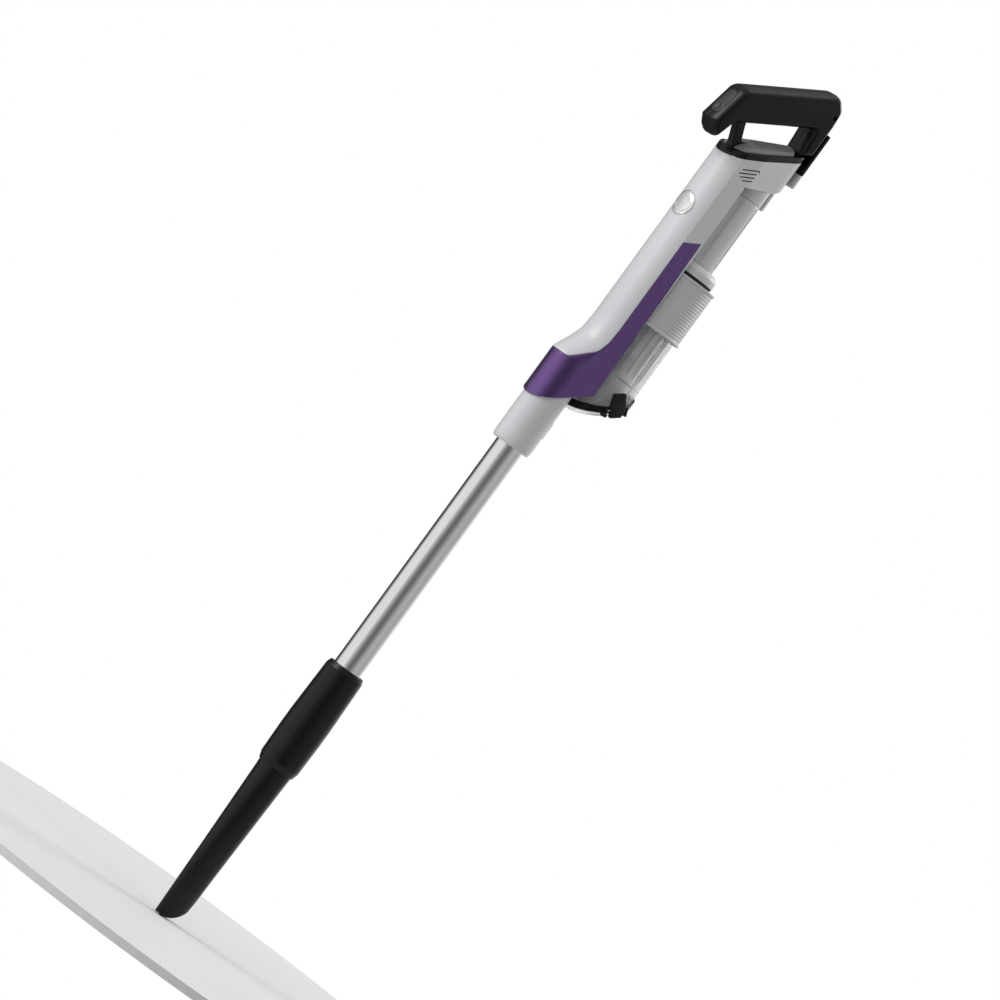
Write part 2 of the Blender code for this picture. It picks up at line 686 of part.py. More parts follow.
def build_handle(materials, parent):
    black = materials["black"]
    middle = ((SHOULDER[0] + NOSE_TIP[0]) / 2, 0, (SHOULDER[1] + NOSE_TIP[1]) / 2)
    face_tilt = math.atan2(SHOULDER[0] - NOSE_TIP[0], SHOULDER[1] - NOSE_TIP[1]) - math.pi / 2
    face = make_empty("display_frame", middle, face_tilt, parent)
    half_length, half_width = LENS_HALF
    lens = plate("display_lens", stadium(half_length, half_width, LENS_SHIFT), (-0.0012, 0.0),
                 materials["lens"], face)
    key_hole = [(0.0, -0.007), (0.0044, -0.007), (0.0044, 0.004), (0.0, 0.004)]
    key_at = (KEY_SHIFT, 0)
    combine(lens, lathe("cut_key_in_lens", key_hole, black, face, key_at, SMALL_ROUND))
    key = [(0.0, -0.0045), (0.0040, -0.0045), (0.0040, 0.0005), (0.0035, 0.0008), (0.0, 0.0008)]
    lathe("mode_button", key, materials["button"], face, key_at, SMALL_ROUND,
          origin=(KEY_SHIFT, 0, 0))
    for side, name in ((-1, "handle_left"), (1, "handle_right")):
        half = handle_half(name, side, materials, parent)
        rim = stadium(half_length + GAP, half_width + GAP, LENS_SHIFT)
        seat = plate("cut_lens_" + name, rim, (-0.0015, 0.0060), black, face)
        combine(half, seat)
        combine(half, lathe("cut_key_" + name, key_hole, black, face, key_at, SMALL_ROUND))
        if side < 0:
            bore = [screw_ring(0.0026, y) for y in (-0.0200, 0.0060 - GRIP_HALF_W)]
            combine(half, loft("cut_screw_hole", bore, black, parent))
    build_handle_screw(materials["steel"], parent)

    strut = make_empty("strut_frame", (FRONT_STRUT_X, 0, ring_top(FRONT_STRUT_X)),
                       -math.atan(GRIP_SLOPE), parent)
    plate("front_strut", rounded_outline(0.0062, 0.0058, 0.0020, 3), (0.0006, STRUT_L),
          black, strut)


def screw_ring(radius, y, count=12):
    """A ring round the axis of the handle's screw."""
    x, z = SCREW_AT
    return [(x + radius * math.cos(2 * math.pi * i / count), y,
             z + radius * math.sin(2 * math.pi * i / count)) for i in range(count)]


def build_handle_screw(material, parent):
    """The screw behind the round hole in the handle's left side."""
    head_y, step_y, end_y = 0.0033 - GRIP_HALF_W, 0.0053 - GRIP_HALF_W, 0.0095
    stations = ((head_y, 0.0023), (step_y, 0.0023), (step_y, 0.0012), (end_y, 0.0012))
    rings = [screw_ring(radius, y) for y, radius in stations]
    loft("handle_screw", rings, material, parent)


def build_dock_tongue(materials, parent):
    """The spine at the back of the handle, which slides down into a wall dock."""
    y_range = (-TONGUE_HALF_W, TONGUE_HALF_W)
    tongue = box("dock_tongue", TONGUE_X, y_range, TONGUE_Z, materials["black"], parent)
    round_edges(tongue, 0.0008, 1)
    tip = box("contact_block", (TONGUE_X[0] + 0.0002, TONGUE_X[1] - 0.0002), y_range,
              (CONTACT_LOW_Z, TONGUE_Z[0] - GAP), materials["body"], parent)
    round_edges(tip, 0.0008, 1)


# ---------------------------------------------------------------- motor and battery
def impeller_outline(blades=9, hub=0.0075, tip=0.0145):
    points = []
    for i in range(blades):
        start = 2 * math.pi * i / blades
        for turn, radius in ((0.0, hub), (0.22, tip), (0.30, tip), (0.20, hub)):
            points.append((radius * math.cos(start + turn), radius * math.sin(start + turn)))
    return points


def build_motor(materials, parent):
    """The suction motor lies square to the head's slanted top, under the exhaust filter."""
    at = (MOTOR_X, 0, RING_Z + TOP_SLOPE * MOTOR_X)
    stack = make_empty("motor_frame", at, -TOP_TILT, parent)
    top, low = -0.0082, -0.0305
    filter_profile = [(0.0, -0.0074), (0.0175, -0.0074), (0.0175, -0.0016), (0.0, -0.0016)]
    lathe("exhaust_filter", filter_profile, materials["filter"], stack)
    can = [(MOTOR_R, low), (MOTOR_R, top), (0.0026, top), (0.0026, top - 0.0015),
           (MOTOR_R - 0.0014, top - 0.0015), (MOTOR_R - 0.0014, low)]
    lathe("motor_can", can, materials["aluminium"], stack)
    stator = [(0.0065, top - 0.0120), (0.0152, top - 0.0120), (0.0152, top - 0.0020),
              (0.0065, top - 0.0020)]
    lathe("motor_stator", stator, materials["copper"], stack)
    shaft = [(0.0, low + 0.0005), (0.0016, low + 0.0005), (0.0016, top - 0.0110),
             (0.0060, top - 0.0110), (0.0060, top - 0.0030), (0.0020, top - 0.0030),
             (0.0020, top - 0.0003), (0.0, top - 0.0003)]
    lathe("motor_shaft", shaft, materials["steel"], stack, count=SMALL_ROUND,
          origin=(0, 0, low + 0.0005))
    wheel = plate("impeller", impeller_outline(), (low + 0.0008, low + 0.0070),
                  materials["dark"], stack, origin=(0, 0, low + 0.0008))
    bore = [(0.0, low - 0.002), (0.0019, low - 0.002), (0.0019, low + 0.012), (0.0, low + 0.012)]
    combine(wheel, lathe("cut_impeller_bore", bore, materials["dark"], stack, count=SMALL_ROUND))
    mount = [(MOTOR_R + GAP, -0.0260), (0.0196, -0.0260), (0.0196, -0.0205), (MOTOR_R + GAP, -0.0205)]
    lathe("motor_mount", mount, materials["rubber"], stack)


def build_battery(materials, parent):
    for i in range(6):
        layer, side = divmod(i, 2)
        low = CELL_LOW_Z + layer * CELL_STEP
        y = CELL_Y * (2 * side - 1)
        profile = [(0.0, low), (CELL_R - 0.0006, low), (CELL_R, low + 0.0006),
                   (CELL_R, low + CELL_H - 0.0016), (CELL_R - 0.0008, low + CELL_H - 0.0008),
                   (0.0045, low + CELL_H - 0.0008), (0.0045, low + CELL_H), (0.0, low + CELL_H)]
        lathe(f"battery_cell_{i + 1}", profile, materials["cell"], parent, (CELL_X, y), SMALL_ROUND)
    tray = arc_outline(FRONT_ARC_X, 0.0318, 0.0196, 0.0195)
    top = CELL_LOW_Z + 2 * CELL_STEP + CELL_H
    plate("battery_tray_lower", tray, (CELL_LOW_Z - 0.0034, CELL_LOW_Z - 0.0004),
          materials["dark"], parent)
    plate("battery_tray_upper", tray, (top + 0.0004, top + 0.0034), materials["dark"], parent)
    box("battery_board", (0.0191, 0.0203), (-0.0080, 0.0080), (0.8400, 1.0200),
        materials["board"], parent)
    plate("control_board", tray, (1.0400, 1.0416), materials["board"], parent)


# ---------------------------------------------------------------- bin, cyclone, air column
def build_air_path(materials, parent):
    """Column, cap and seal above the bin, with the neck that leads into the head."""
    column = lathe("air_column", [(COLUMN_R, CAP_Z[1] + GAP), (COLUMN_R, COLUMN_TOP_Z),
                                  (COLUMN_BORE_R, COLUMN_TOP_Z), (COLUMN_BORE_R, CAP_Z[1] + GAP)],
                   materials["grey"], parent, (BIN_X, 0))
    for side in (-1, 1):
        groove = box(f"cut_groove_{side + 2}", (-0.0230, -0.0194), (-0.0034, 0.0034),
                     (0.9570, 1.0410), materials["grey"], parent)
        groove.location = (BIN_X, 0, 0)
        groove.rotation_euler = (0, 0, side * math.radians(45))
        combine(column, groove)
    low, high = CAP_Z
    cap = [(0.0130, low), (0.0315, low), (0.0315, low + 0.0060), (0.0280, low + 0.0105),
           (0.0215, high), (0.0130, high)]
    lathe("separator_cap", cap, materials["grey"], parent, (BIN_X, 0))
    seal = [(0.0262, BIN_TOP_Z + 0.0004), (0.0308, BIN_TOP_Z + 0.0004), (0.0308, low - GAP),
            (0.0262, low - GAP)]
    lathe("cap_seal", seal, materials["rubber"], parent, (BIN_X, 0))
    cartridge = [(0.0070, 0.9750), (0.0165, 0.9750), (0.0165, 1.0350), (0.0070, 1.0350)]
    lathe("pre_motor_filter", cartridge, materials["filter"], parent, (BIN_X, 0), SMALL_ROUND)


def build_duct_neck(materials, parent):
    top = under_head(BIN_X) - 0.0004
    bottom = COLUMN_TOP_Z + 0.0004
    profile = ((COLUMN_R, bottom, 0), (COLUMN_R, top, 1), (0.0130, top, 1), (0.0130, bottom, 0))
    slanted_tube("duct_neck", profile, materials["body"], parent, HEAD_UNDER_SLOPE)
    catch = box("bin_release_catch", (0.0872, 0.0912), (-0.0080, 0.0080), (1.0450, 1.0700),
                materials["body"], parent, origin=(0.0872, 0, 1.0575))
    round_edges(catch, 0.0010)


def build_separator(materials, parent):
    shroud = [(0.0, SHROUD_LOW_Z), (0.0200, SHROUD_LOW_Z), (0.0250, SHROUD_LOW_Z + 0.003),
              (SHROUD_R, SHROUD_LOW_Z + 0.009), (SHROUD_R, BIN_TOP_Z - 0.001),
              (0.0254, BIN_TOP_Z - 0.001), (0.0254, SHROUD_LOW_Z + 0.010),
              (0.0236, SHROUD_LOW_Z + 0.0045), (0.0195, SHROUD_LOW_Z + 0.002),
              (0.0, SHROUD_LOW_Z + 0.002)]
    lathe("separator_shroud", shroud, materials["dark"], parent, (BIN_X, 0))
    cone = [(0.0070, 0.8350), (0.0150, 0.9300), (0.0135, 0.9300), (0.0056, 0.8350)]
    lathe("cyclone_cone", cone, materials["dark"], parent, (BIN_X, 0), SMALL_ROUND)


def build_bin(materials, parent):
    low = LID_Z + LID_H + 0.0004
    inner = BIN_R - BIN_WALL
    wall = slanted_tube("bin_wall", ((BIN_R, low, 1), (BIN_R, BIN_TOP_Z, 0), (inner, BIN_TOP_Z, 0),
                                     (inner, low, 1)), materials["clear"], parent, LID_SLOPE)
    port = x_tube("cut_inlet_port", (0.0250, 0.0400), 0, INLET_Z, INLET_R - 0.0014, 0,
                  materials["clear"], parent)
    combine(wall, port)
    ring_r = BIN_R + GAP
    rim = slanted_tube("bin_rim", ((LID_R, low, 1), (LID_R, low + RIM_H, 1), (ring_r, low + RIM_H, 1),
                                   (ring_r, low, 1)), materials["black"], parent, LID_SLOPE)
    hinge = make_empty("lid_frame", (BIN_X, 0, LID_Z + LID_H + 0.0002), -LID_TILT, parent)
    for side in (-1, 1):
        span = tuple(sorted((side * 0.0054, side * 0.0110)))
        arm = box(f"add_rim_arm_{side + 2}", span, (0.0340, HINGE_Y - 0.0014), (0.0006, 0.0022),
                  materials["black"], hinge)
        knuckle = x_tube(f"add_rim_knuckle_{side + 2}", span, HINGE_Y, 0, HINGE_R, 0.0013,
                         materials["black"], hinge)
        combine(knuckle, arm, "UNION")
        combine(rim, knuckle, "UNION")
    x_tube("lid_hinge_pin", (-0.0120, 0.0120), HINGE_Y, 0, 0.0010, 0, materials["steel"], hinge, 12)
    return hinge


def build_lid(materials, parent, hinge):
    """The sloping lid, its seal, and the ears that carry the latch."""
    disc = ((0.0, LID_Z, 1), (0.0335, LID_Z, 1), (LID_R, LID_Z + 0.0014, 1),
            (LID_R, LID_Z + LID_H, 1), (0.0, LID_Z + LID_H, 1))
    lid = slanted_tube("bin_lid", disc, materials["clear"], parent, LID_SLOPE)
    knuckle = x_tube("add_lid_knuckle", (-0.0050, 0.0050), HINGE_Y, 0, HINGE_R, 0.0013,
                     materials["clear"], hinge)
    arm = box("add_lid_arm", (-0.0050, 0.0050), (0.0330, HINGE_Y - 0.0014), (-0.0036, -0.0006),
              materials["clear"], hinge)
    combine(knuckle, arm, "UNION")
    combine(lid, knuckle, "UNION")
    for i, span in enumerate(((-0.0130, -0.0104), (0.0144, 0.0170))):
        ear = box(f"add_ear_{i + 1}", span, (-0.0406, -0.0367), (-0.0040, 0.0080),
                  materials["clear"], hinge)
        foot = box(f"add_ear_foot_{i + 1}", span, (-0.0390, -0.0280), (-0.0036, -0.0006),
                   materials["clear"], hinge)
        combine(ear, foot, "UNION")
        hole = x_tube(f"cut_ear_hole_{i + 1}", (-0.030, 0.030), LATCH_PIVOT[1], LATCH_PIVOT[2],
                      0.0013, 0, materials["clear"], hinge, 12)
        combine(ear, hole)
        combine(lid, ear, "UNION")
    low = LID_Z + LID_H + 0.0004
    seal = ((0.0275, low, 1), (0.0308, low, 1), (0.0308, low + 0.0030, 1), (0.0275, low + 0.0030, 1))
    slanted_tube("lid_gasket", seal, materials["rubber"], parent, LID_SLOPE)
    x_tube("latch_pin", (-0.0128, 0.0168), LATCH_PIVOT[1], LATCH_PIVOT[2], 0.0010, 0,
           materials["steel"], hinge, 12)


def build_latch(materials, hinge):
    """A rocking block on the lid's near side, with a finger tab at its upper corner."""
    outer_y, inner_y = LATCH_Y
    block = box("lid_latch", (-0.0100, 0.0140), (outer_y + 0.0004, inner_y), (-0.0036, 0.0160),
                materials["black"], hinge, origin=LATCH_PIVOT)
    tab = box("add_latch_tab", (0.0070, 0.0165), (outer_y, LATCH_PIVOT[1]), (0.0140, 0.0230),
              materials["black"], hinge)
    combine(block, tab, "UNION")
    combine(block, x_tube("cut_latch_hole", (-0.030, 0.030), LATCH_PIVOT[1], LATCH_PIVOT[2],
                          0.0013, 0, materials["black"], hinge, 12))


def build_compactor(materials, parent):
    """The sliding collar outside the bin, and the scraper ring that it drives inside."""
    low, high = COLLAR_Z
    lip_r = COLLAR_LIP_R
    bore = BIN_R + 0.0005
    profile = [(bore, low), (lip_r, low), (lip_r, low + 0.0025), (COLLAR_R, low + 0.0035),
               (COLLAR_R, high - 0.0035), (lip_r, high - 0.0025), (lip_r, high), (bore, high)]
    reach = math.pi - math.radians(COLLAR_OPEN_DEG)
    rings = []
    for i in range(ROUND + 1):
        angle = reach * (2 * i / ROUND - 1)
        rings.append([(BIN_X + r * math.cos(angle), r * math.sin(angle), z) for r, z in profile])
    loft("compactor_collar", rings, materials["grey"], parent, origin=(BIN_X, 0, low))
    scraper = [(SHROUD_R + 0.0005, 0.9160), (0.0308, 0.9160), (0.0308, 0.9220),
               (SHROUD_R + 0.0005, 0.9220)]
    lathe("compactor_scraper", scraper, materials["rubber"], parent, (BIN_X, 0))


# ---------------------------------------------------------------- the whole vacuum
PALETTE = {
    "body": ((0.62, 0.63, 0.65), 0.38, 0.0),
    "purple": ((0.085, 0.035, 0.16), 0.28, 0.6),
    "black": ((0.012, 0.012, 0.011), 0.42, 0.0),
    "chrome": ((0.70, 0.70, 0.71), 0.18, 1.0),
    "grey": ((0.34, 0.34, 0.35), 0.45, 0.0),
    "grille": ((0.13, 0.13, 0.14), 0.40, 0.0),
    "clear": ((0.80, 0.82, 0.83), 0.08, 0.0),
    "dark": ((0.03, 0.03, 0.03), 0.50, 0.0),
    "lens": ((0.02, 0.02, 0.022), 0.10, 0.0),
    "button": ((0.06, 0.06, 0.06), 0.35, 0.0),
    "badge": ((0.62, 0.63, 0.65), 0.22, 0.3),
    "rubber": ((0.015, 0.015, 0.015), 0.85, 0.0),
    "steel": ((0.50, 0.50, 0.50), 0.30, 1.0),
    "aluminium": ((0.60, 0.60, 0.61), 0.35, 1.0),
    "copper": ((0.55, 0.24, 0.12), 0.40, 1.0),
    "filter": ((0.80, 0.80, 0.76), 0.95, 0.0),
    "cell": ((0.05, 0.22, 0.30), 0.45, 0.0),
    "board": ((0.02, 0.16, 0.07), 0.50, 0.0),
}


def build_vacuum():
    clear_scene()
    materials = {name: make_material(name, *values) for name, values in PALETTE.items()}
    body = make_empty("vacuum_frame", (-FRAME_X, 0, 0))
    build_crevice_tool(materials["black"], body)
    build_wand(materials, body)
    build_wand_socket(materials, body)
    build_inlet(materials, body)
    build_housing(materials, body)
    build_side_trim(materials, body)
    build_cradle_panel(materials, body)
    build_badge(materials, body)
    build_top_ring(materials, body)
    build_grille(materials, body)
    build_handle(materials, body)
    build_dock_tongue(materials, body)
    build_motor(materials, body)
    build_battery(materials, body)
    build_air_path(materials, body)
    build_duct_neck(materials, body)
    build_separator(materials, body)
    hinge = build_bin(materials, body)
    build_lid(materials, body, hinge)
    build_latch(materials, hinge)
    build_compactor(materials, body)


build_vacuum()
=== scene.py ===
"""The looks of the cordless stick vacuum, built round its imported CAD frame.

Blender 4.5, metres, +Z up. The shapes below are drawn with X measured from the wand's axis and
with the frame's own heights. add_piece() moves each one on to the frame and makes it ride there.
"""

import json
import math

import bmesh
import bpy
from mathutils import Matrix, Vector
from mathutils.kdtree import KDTree


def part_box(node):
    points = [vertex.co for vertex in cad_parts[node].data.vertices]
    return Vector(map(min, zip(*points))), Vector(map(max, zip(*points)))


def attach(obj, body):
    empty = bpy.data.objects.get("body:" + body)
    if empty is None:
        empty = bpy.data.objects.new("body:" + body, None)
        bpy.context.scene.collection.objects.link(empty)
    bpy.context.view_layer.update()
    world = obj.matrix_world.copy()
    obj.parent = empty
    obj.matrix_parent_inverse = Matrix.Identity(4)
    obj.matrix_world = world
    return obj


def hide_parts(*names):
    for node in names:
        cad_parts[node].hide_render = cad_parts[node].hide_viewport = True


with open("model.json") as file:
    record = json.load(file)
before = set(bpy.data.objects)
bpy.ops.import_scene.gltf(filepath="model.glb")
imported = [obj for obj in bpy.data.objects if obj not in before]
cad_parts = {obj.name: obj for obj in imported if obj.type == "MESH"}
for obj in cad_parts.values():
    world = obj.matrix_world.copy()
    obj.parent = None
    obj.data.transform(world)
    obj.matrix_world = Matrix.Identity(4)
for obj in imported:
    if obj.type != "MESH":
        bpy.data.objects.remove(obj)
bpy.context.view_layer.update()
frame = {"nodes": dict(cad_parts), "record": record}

# ---------------------------------------------------------------- places read from the frame


def node_middle(node):
    low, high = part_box(node)
    return (low + high) / 2


def node_heights(node):
    low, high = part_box(node)
    return low.z, high.z


AXIS_X = node_middle("wand_tube").x           # the wand's axis, in the frame
BIN_X = node_middle("bin_wall").x - AXIS_X    # the bin's axis, from the wand's
SLEEVE_LOW, SLEEVE_TOP = node_heights("tool_sleeve")
SOCKET_LOW = node_heights("wand_socket")[0]
WAND_LOW, WAND_TOP = node_heights("wand_tube")
BIN_TOP = node_heights("bin_wall")[1]
CAP_LOW, CAP_TOP = node_heights("separator_cap")
COLUMN_LOW, COLUMN_TOP = node_heights("air_column")
COLLAR_LOW, COLLAR_TOP = node_heights("compactor_collar")
BADGE_Z = node_middle("front_badge").z
PANEL_TOP = node_heights("cradle_panel")[1]

# ---------------------------------------------------------------- driving dimensions
ROUND = 96                        # facets round a turned piece
SEAM = 0.00045                    # width of a parting line between two mouldings
EDGE = 0.0007                     # rounding along a moulding's rim
GAP = 0.0004                      # clearance between parts that move or fit together

WAND_R = 0.0175
WAND_WALL = 0.0012
SLEEVE_R = 0.026
BORE_R = 0.0179
SPIGOT_R = 0.0212
SPIGOT_TOP_Z = 0.2375
TOOL_WALL = 0.0018
TOOL_TIP_AXES = (0.0192, 0.0088)
TOOL_NECK_R = 0.0210
TOOL_NECK_Z = 0.203
MOUTH_RISE = 0.0215
SOCKET_R = 0.0249
BUTTON_HALF_W = 0.0070
BUTTON_X = (0.0225, 0.0280)
TOOL_BUTTON_Z = (0.2435, 0.2635)
WAND_BUTTON_Z = (0.687, 0.710)

SIDE_Y = 0.0277                   # half width of the body's flat sides
REAR_X = 0.0338
FRONT_ARC_R = 0.0350
FRONT_ARC_X = 0.0299
LOW_SLOPE = 0.64
TRIM_LOW_Z = 0.7388
TRIM_SKIN = 0.0023
SIDE_SKIN = 0.0048
HEAD_SKIN = 0.0022
STRIPE_X = 0.0083
STRIPE_TOP_Z = 0.960
STRIPE_CUT = 0.0035               # how far the stripe's upper end stays off the rear edge
STRIPE_CUT_Z = (0.810, 0.970)
# Height and share of the body's front, from the round low end up to the flatter column.
FLARE = ((0.700, 0.0), (0.7795, 0.0), (0.786, 0.13), (0.794, 0.36), (0.806, 0.67),
         (0.817, 0.89), (0.828, 0.96), (0.842, 1.0), (1.200, 1.0))
# Height and depth of the trim's curved upper edge.
TRIM_EDGE = ((0.7760, -0.0400), (0.7770, -0.0310), (0.7785, -0.0247), (0.785, -0.0174),
             (0.7955, -0.0071), (0.802, -0.0006), (0.809, 0.0037), (0.817, 0.0062),
             (0.829, 0.0083), (0.860, 0.0090))

TOP_SLOPE = 0.479
RING_Z = 1.0724
RING_H = 0.0079
RING_W = 0.0050
HEAD_REAR_X = 0.0790
HEAD_REAR_R = 0.0180
HEAD_REAR_SPREAD = math.radians(78)
HEAD_UNDER_Z = 1.0525
HEAD_UNDER_SLOPE = 0.33
HEAD_CHAMFER_X = 0.0800
HEAD_CHAMFER_SLOPE = 0.675
BADGE_R = 0.0158
VENT_STARTS_X = (0.0154, 0.0140, 0.0183, 0.0240)
VENT_END_X = 0.0380
VENT_TOP_Z = 1.0763
VENT_PITCH = 0.00475
VENT_H = 0.0016

GRIP_SLOPE = 0.527
GRIP_LOW_Z = 1.1138
GRIP_HIGH_Z = 1.1610
GRIP_HALF_W = 0.0180
GRIP_ROUND = (0.0138, 0.0072)     # across the grip and up it
POST_X = 0.0763
POST_FOOT_X = 0.0797
BACK_X = 0.0990
SHOULDER = (-0.0377, 1.1404)
NOSE_TIP = (-0.0496, 1.0915)
FRONT_STRUT_X = 0.0060
SCREW_AT = (0.0890, 1.1789)
LENS_HALF = (0.0172, 0.0086)
LENS_SHIFT = 0.0005               # the lens and the key, up the nose's face from its middle
KEY_SHIFT = -0.0100
KEY_HOLE_R = 0.0044
DOCK_X = (0.0993, 0.1034)
DOCK_HALF_W = 0.0148
DOCK_Z = (1.0865, 1.1040, 1.1600)

BIN_R = 0.0330
BIN_WALL = 0.0018
INLET_Z = 0.800
LID_SLOPE = 0.62
LID_Z = 0.7530
LID_H = 0.0048
LID_R = 0.0355
RIM_H = 0.0088
COLLAR_R = 0.0378
COLLAR_LIP_R = 0.0389
COLLAR_OPEN_DEG = 38.0
COLLAR_RIBS = 18
SHROUD_R = 0.0270
SHROUD_WAIST_R = 0.0260
SHROUD_RIBS = 18
SHROUD_LOW_Z = 0.794
COLUMN_R = 0.0210
COLUMN_BORE_R = 0.0180
HINGE_Y = 0.0386
HINGE_R = 0.0024
HINGE_BORE_R = 0.0013
PIN_R = 0.0010
LATCH_PIVOT = (-0.0388, 0.0050)   # across and up, in the lid's own frame
CATCH_AT = (0.0872, 0, 1.0575)
CRADLE_R = math.hypot(BIN_X - REAR_X, SIDE_Y)

TOP_TILT = math.atan(TOP_SLOPE)
LID_TILT = math.atan(LID_SLOPE)


# ---------------------------------------------------------------- outlines
def blend(points, weights):
    """The weighted mean of some points."""
    return tuple(sum(p[i] * w for p, w in zip(points, weights)) for i in range(len(points[0])))


def soften(points, radius, steps=4, closed=True):
    """Rounds the corners of an outline, all by one radius or each by its own."""
    count = len(points)
    radii = [radius] * count if isinstance(radius, (int, float)) else radius
    softened = []
    for i, here in enumerate(points):
        before, after = points[i - 1], points[(i + 1) % count]
        is_end = not closed and i in (0, count - 1)
        way_in = Vector(before[:2]) - Vector(here[:2])
        way_out = Vector(after[:2]) - Vector(here[:2])
        if is_end or radii[i] <= 0 or min(way_in.length, way_out.length) < 1e-7:
            softened.append(tuple(here))
            continue
        corner = way_in.angle(way_out)
        if math.pi - corner < math.radians(2):
            softened.append(tuple(here))
            continue
        reach = min(radii[i] / math.tan(corner / 2), 0.48 * way_in.length, 0.48 * way_out.length)
        start = blend((here, before), (1 - reach / way_in.length, reach / way_in.length))
        end = blend((here, after), (1 - reach / way_out.length, reach / way_out.length))
        for k in range(steps + 1):
            t = k / steps
            softened.append(blend((start, here, end), ((1 - t) ** 2, 2 * t * (1 - t), t * t)))
    return softened


def inset_outline(outline, distance):
    """Moves each side of a polygon inwards by a distance."""
    count = len(outline)
    area = sum(outline[i][0] * outline[(i + 1) % count][1] -
               outline[(i + 1) % count][0] * outline[i][1] for i in range(count))
    turn = 1 if area > 0 else -1
    points = []
    for i in range(count):
        before, here, after = (Vector(outline[k % count]) for k in (i - 1, i, i + 1))
        in_dir = (here - before).normalized()
        out_dir = (after - here).normalized()
        normal_in = Vector((-in_dir.y, in_dir.x)) * turn
        normal_out = Vector((-out_dir.y, out_dir.x)) * turn
        bisector = (normal_in + normal_out).normalized()
        points.append(tuple(here + bisector * distance / bisector.dot(normal_in)))
    return points


def rectangle(x_half, y_half):
    return [(x_half, y_half), (-x_half, y_half), (-x_half, -y_half), (x_half, -y_half)]


def box_outline(x_range, y_range):
    (x0, x1), (y0, y1) = x_range, y_range
    return [(x0, y0), (x1, y0), (x1, y1), (x0, y1)]


def round_steps(count):
    """The cosine and sine of each equal step round a circle."""
    turns = [2 * math.pi * i / count for i in range(count)]
    return [(math.cos(turn), math.sin(turn)) for turn in turns]


def quarter_steps(steps):
    """The cosine and sine of each equal step of a quarter turn."""
    turns = [math.pi / 2 * k / steps for k in range(steps + 1)]
    return [(math.cos(turn), math.sin(turn)) for turn in turns]


def interpolate(table, at):
    """A smooth curve through a table of (place, value), without overshoot."""
    last = len(table) - 2
    i = next((k for k in range(last + 1) if at < table[k + 1][0]), last)
    slopes = [(b[1] - a[1]) / (b[0] - a[0]) for a, b in zip(table, table[1:])]

    def tangent(k):
        if k == 0 or k > last or slopes[k - 1] * slopes[k] <= 0:
            return 0.0 if 0 < k <= last else slopes[min(k, last)]
        return 2 * slopes[k - 1] * slopes[k] / (slopes[k - 1] + slopes[k])

    (x0, y0), (x1, y1) = table[i], table[i + 1]
    span = x1 - x0
    t = min(1.0, max(0.0, (at - x0) / span))
    m0, m1 = tangent(i) * span, tangent(i + 1) * span
    return ((2 * t ** 3 - 3 * t ** 2 + 1) * y0 + (t ** 3 - 2 * t ** 2 + t) * m0 +
            (3 * t ** 2 - 2 * t ** 3) * y1 + (t ** 3 - t ** 2) * m1)


def steps_between(start, end, count, soft_start=True, soft_end=True):
    """Stations between two values, with extra ones close to a rounded edge at either end."""
    close = (0.0, 0.12 * EDGE, 0.35 * EDGE, 0.65 * EDGE, EDGE)
    direction = 1 if end > start else -1
    first = [start + direction * c for c in close] if soft_start else [start]
    final = [end - direction * c for c in reversed(close)] if soft_end else [end]
    inner = [first[-1] + (final[0] - first[-1]) * i / count for i in range(1, count)]
    return first + inner + final


# ---------------------------------------------------------------- meshes
def add_face(mesh_data, *corners):
    """Adds a face. Corners that repeat count once, and fewer than three make no face."""
    unique = list(dict.fromkeys(corners))
    if len(unique) > 2:
        mesh_data.faces.new(unique)


def bridge(mesh_data, ring_a, ring_b):
    """Joins two rings of vertices with faces. A ring of one vertex is a pole."""
    count = max(len(ring_a), len(ring_b))
    for i in range(count):
        j = (i + 1) % count
        add_face(mesh_data, ring_a[i % len(ring_a)], ring_a[j % len(ring_a)],
                 ring_b[j % len(ring_b)], ring_b[i % len(ring_b)])


def loft_mesh(rings, closed=False):
    """A skin through rings of points. Closed joins the last ring to the first, else it is capped."""
    mesh_data = bmesh.new()
    rows = [[mesh_data.verts.new(p) for p in ring] for ring in rings]
    for row_a, row_b in zip(rows, rows[1:]):
        bridge(mesh_data, row_a, row_b)
    if closed:
        bridge(mesh_data, rows[-1], rows[0])
    else:
        for row in (rows[0], rows[-1]):
            if len(row) > 2:
                mesh_data.faces.new(row)
    return mesh_data


def circle(x, radius, z, slope=0.0, count=ROUND):
    """A ring round a vertical axis at x, in a plane that rises along +X by slope."""
    if radius <= 1e-6:
        return [(x, 0.0, z)]
    return [(x + radius * c, radius * s, z + slope * (radius * c)) for c, s in round_steps(count)]


def turned(profile, x=0.0, slope=0.0, count=ROUND):
    """Turns a (radius, height, slope share) profile round a vertical axis at x."""
    rings = [circle(x, p[0], p[1], slope * (p[2] if len(p) > 2 else 0), count) for p in profile]
    return loft_mesh(rings, closed=profile[0][0] > 1e-6)


def prism(outline, y_range):
    """An outline in the XZ plane, extruded along Y."""
    return loft_mesh([[(x, y, z) for x, z in outline] for y in y_range])


def plate(outline, z_range):
    """An outline in the XY plane, extruded along Z."""
    return loft_mesh([[(x, y, z) for x, y in outline] for z in z_range])


def pillow(outline, z_low, z_high, edge, radius=0.0, steps=4, low_edge=None):
    """An outline in the XY plane as a solid with rounded upper and lower edges."""
    low_edge = edge if low_edge is None else low_edge
    rings = [(low_edge * (1 - s), z_low + low_edge * (1 - c)) for c, s in quarter_steps(steps)]
    rings += [(edge * (1 - c), z_high - edge * (1 - s)) for c, s in quarter_steps(steps)]
    return loft_mesh([[(x, y, z) for x, y in
                       soften(inset_outline(outline, inset), max(radius - inset, 0.0001), 5)]
                      for inset, z in rings])


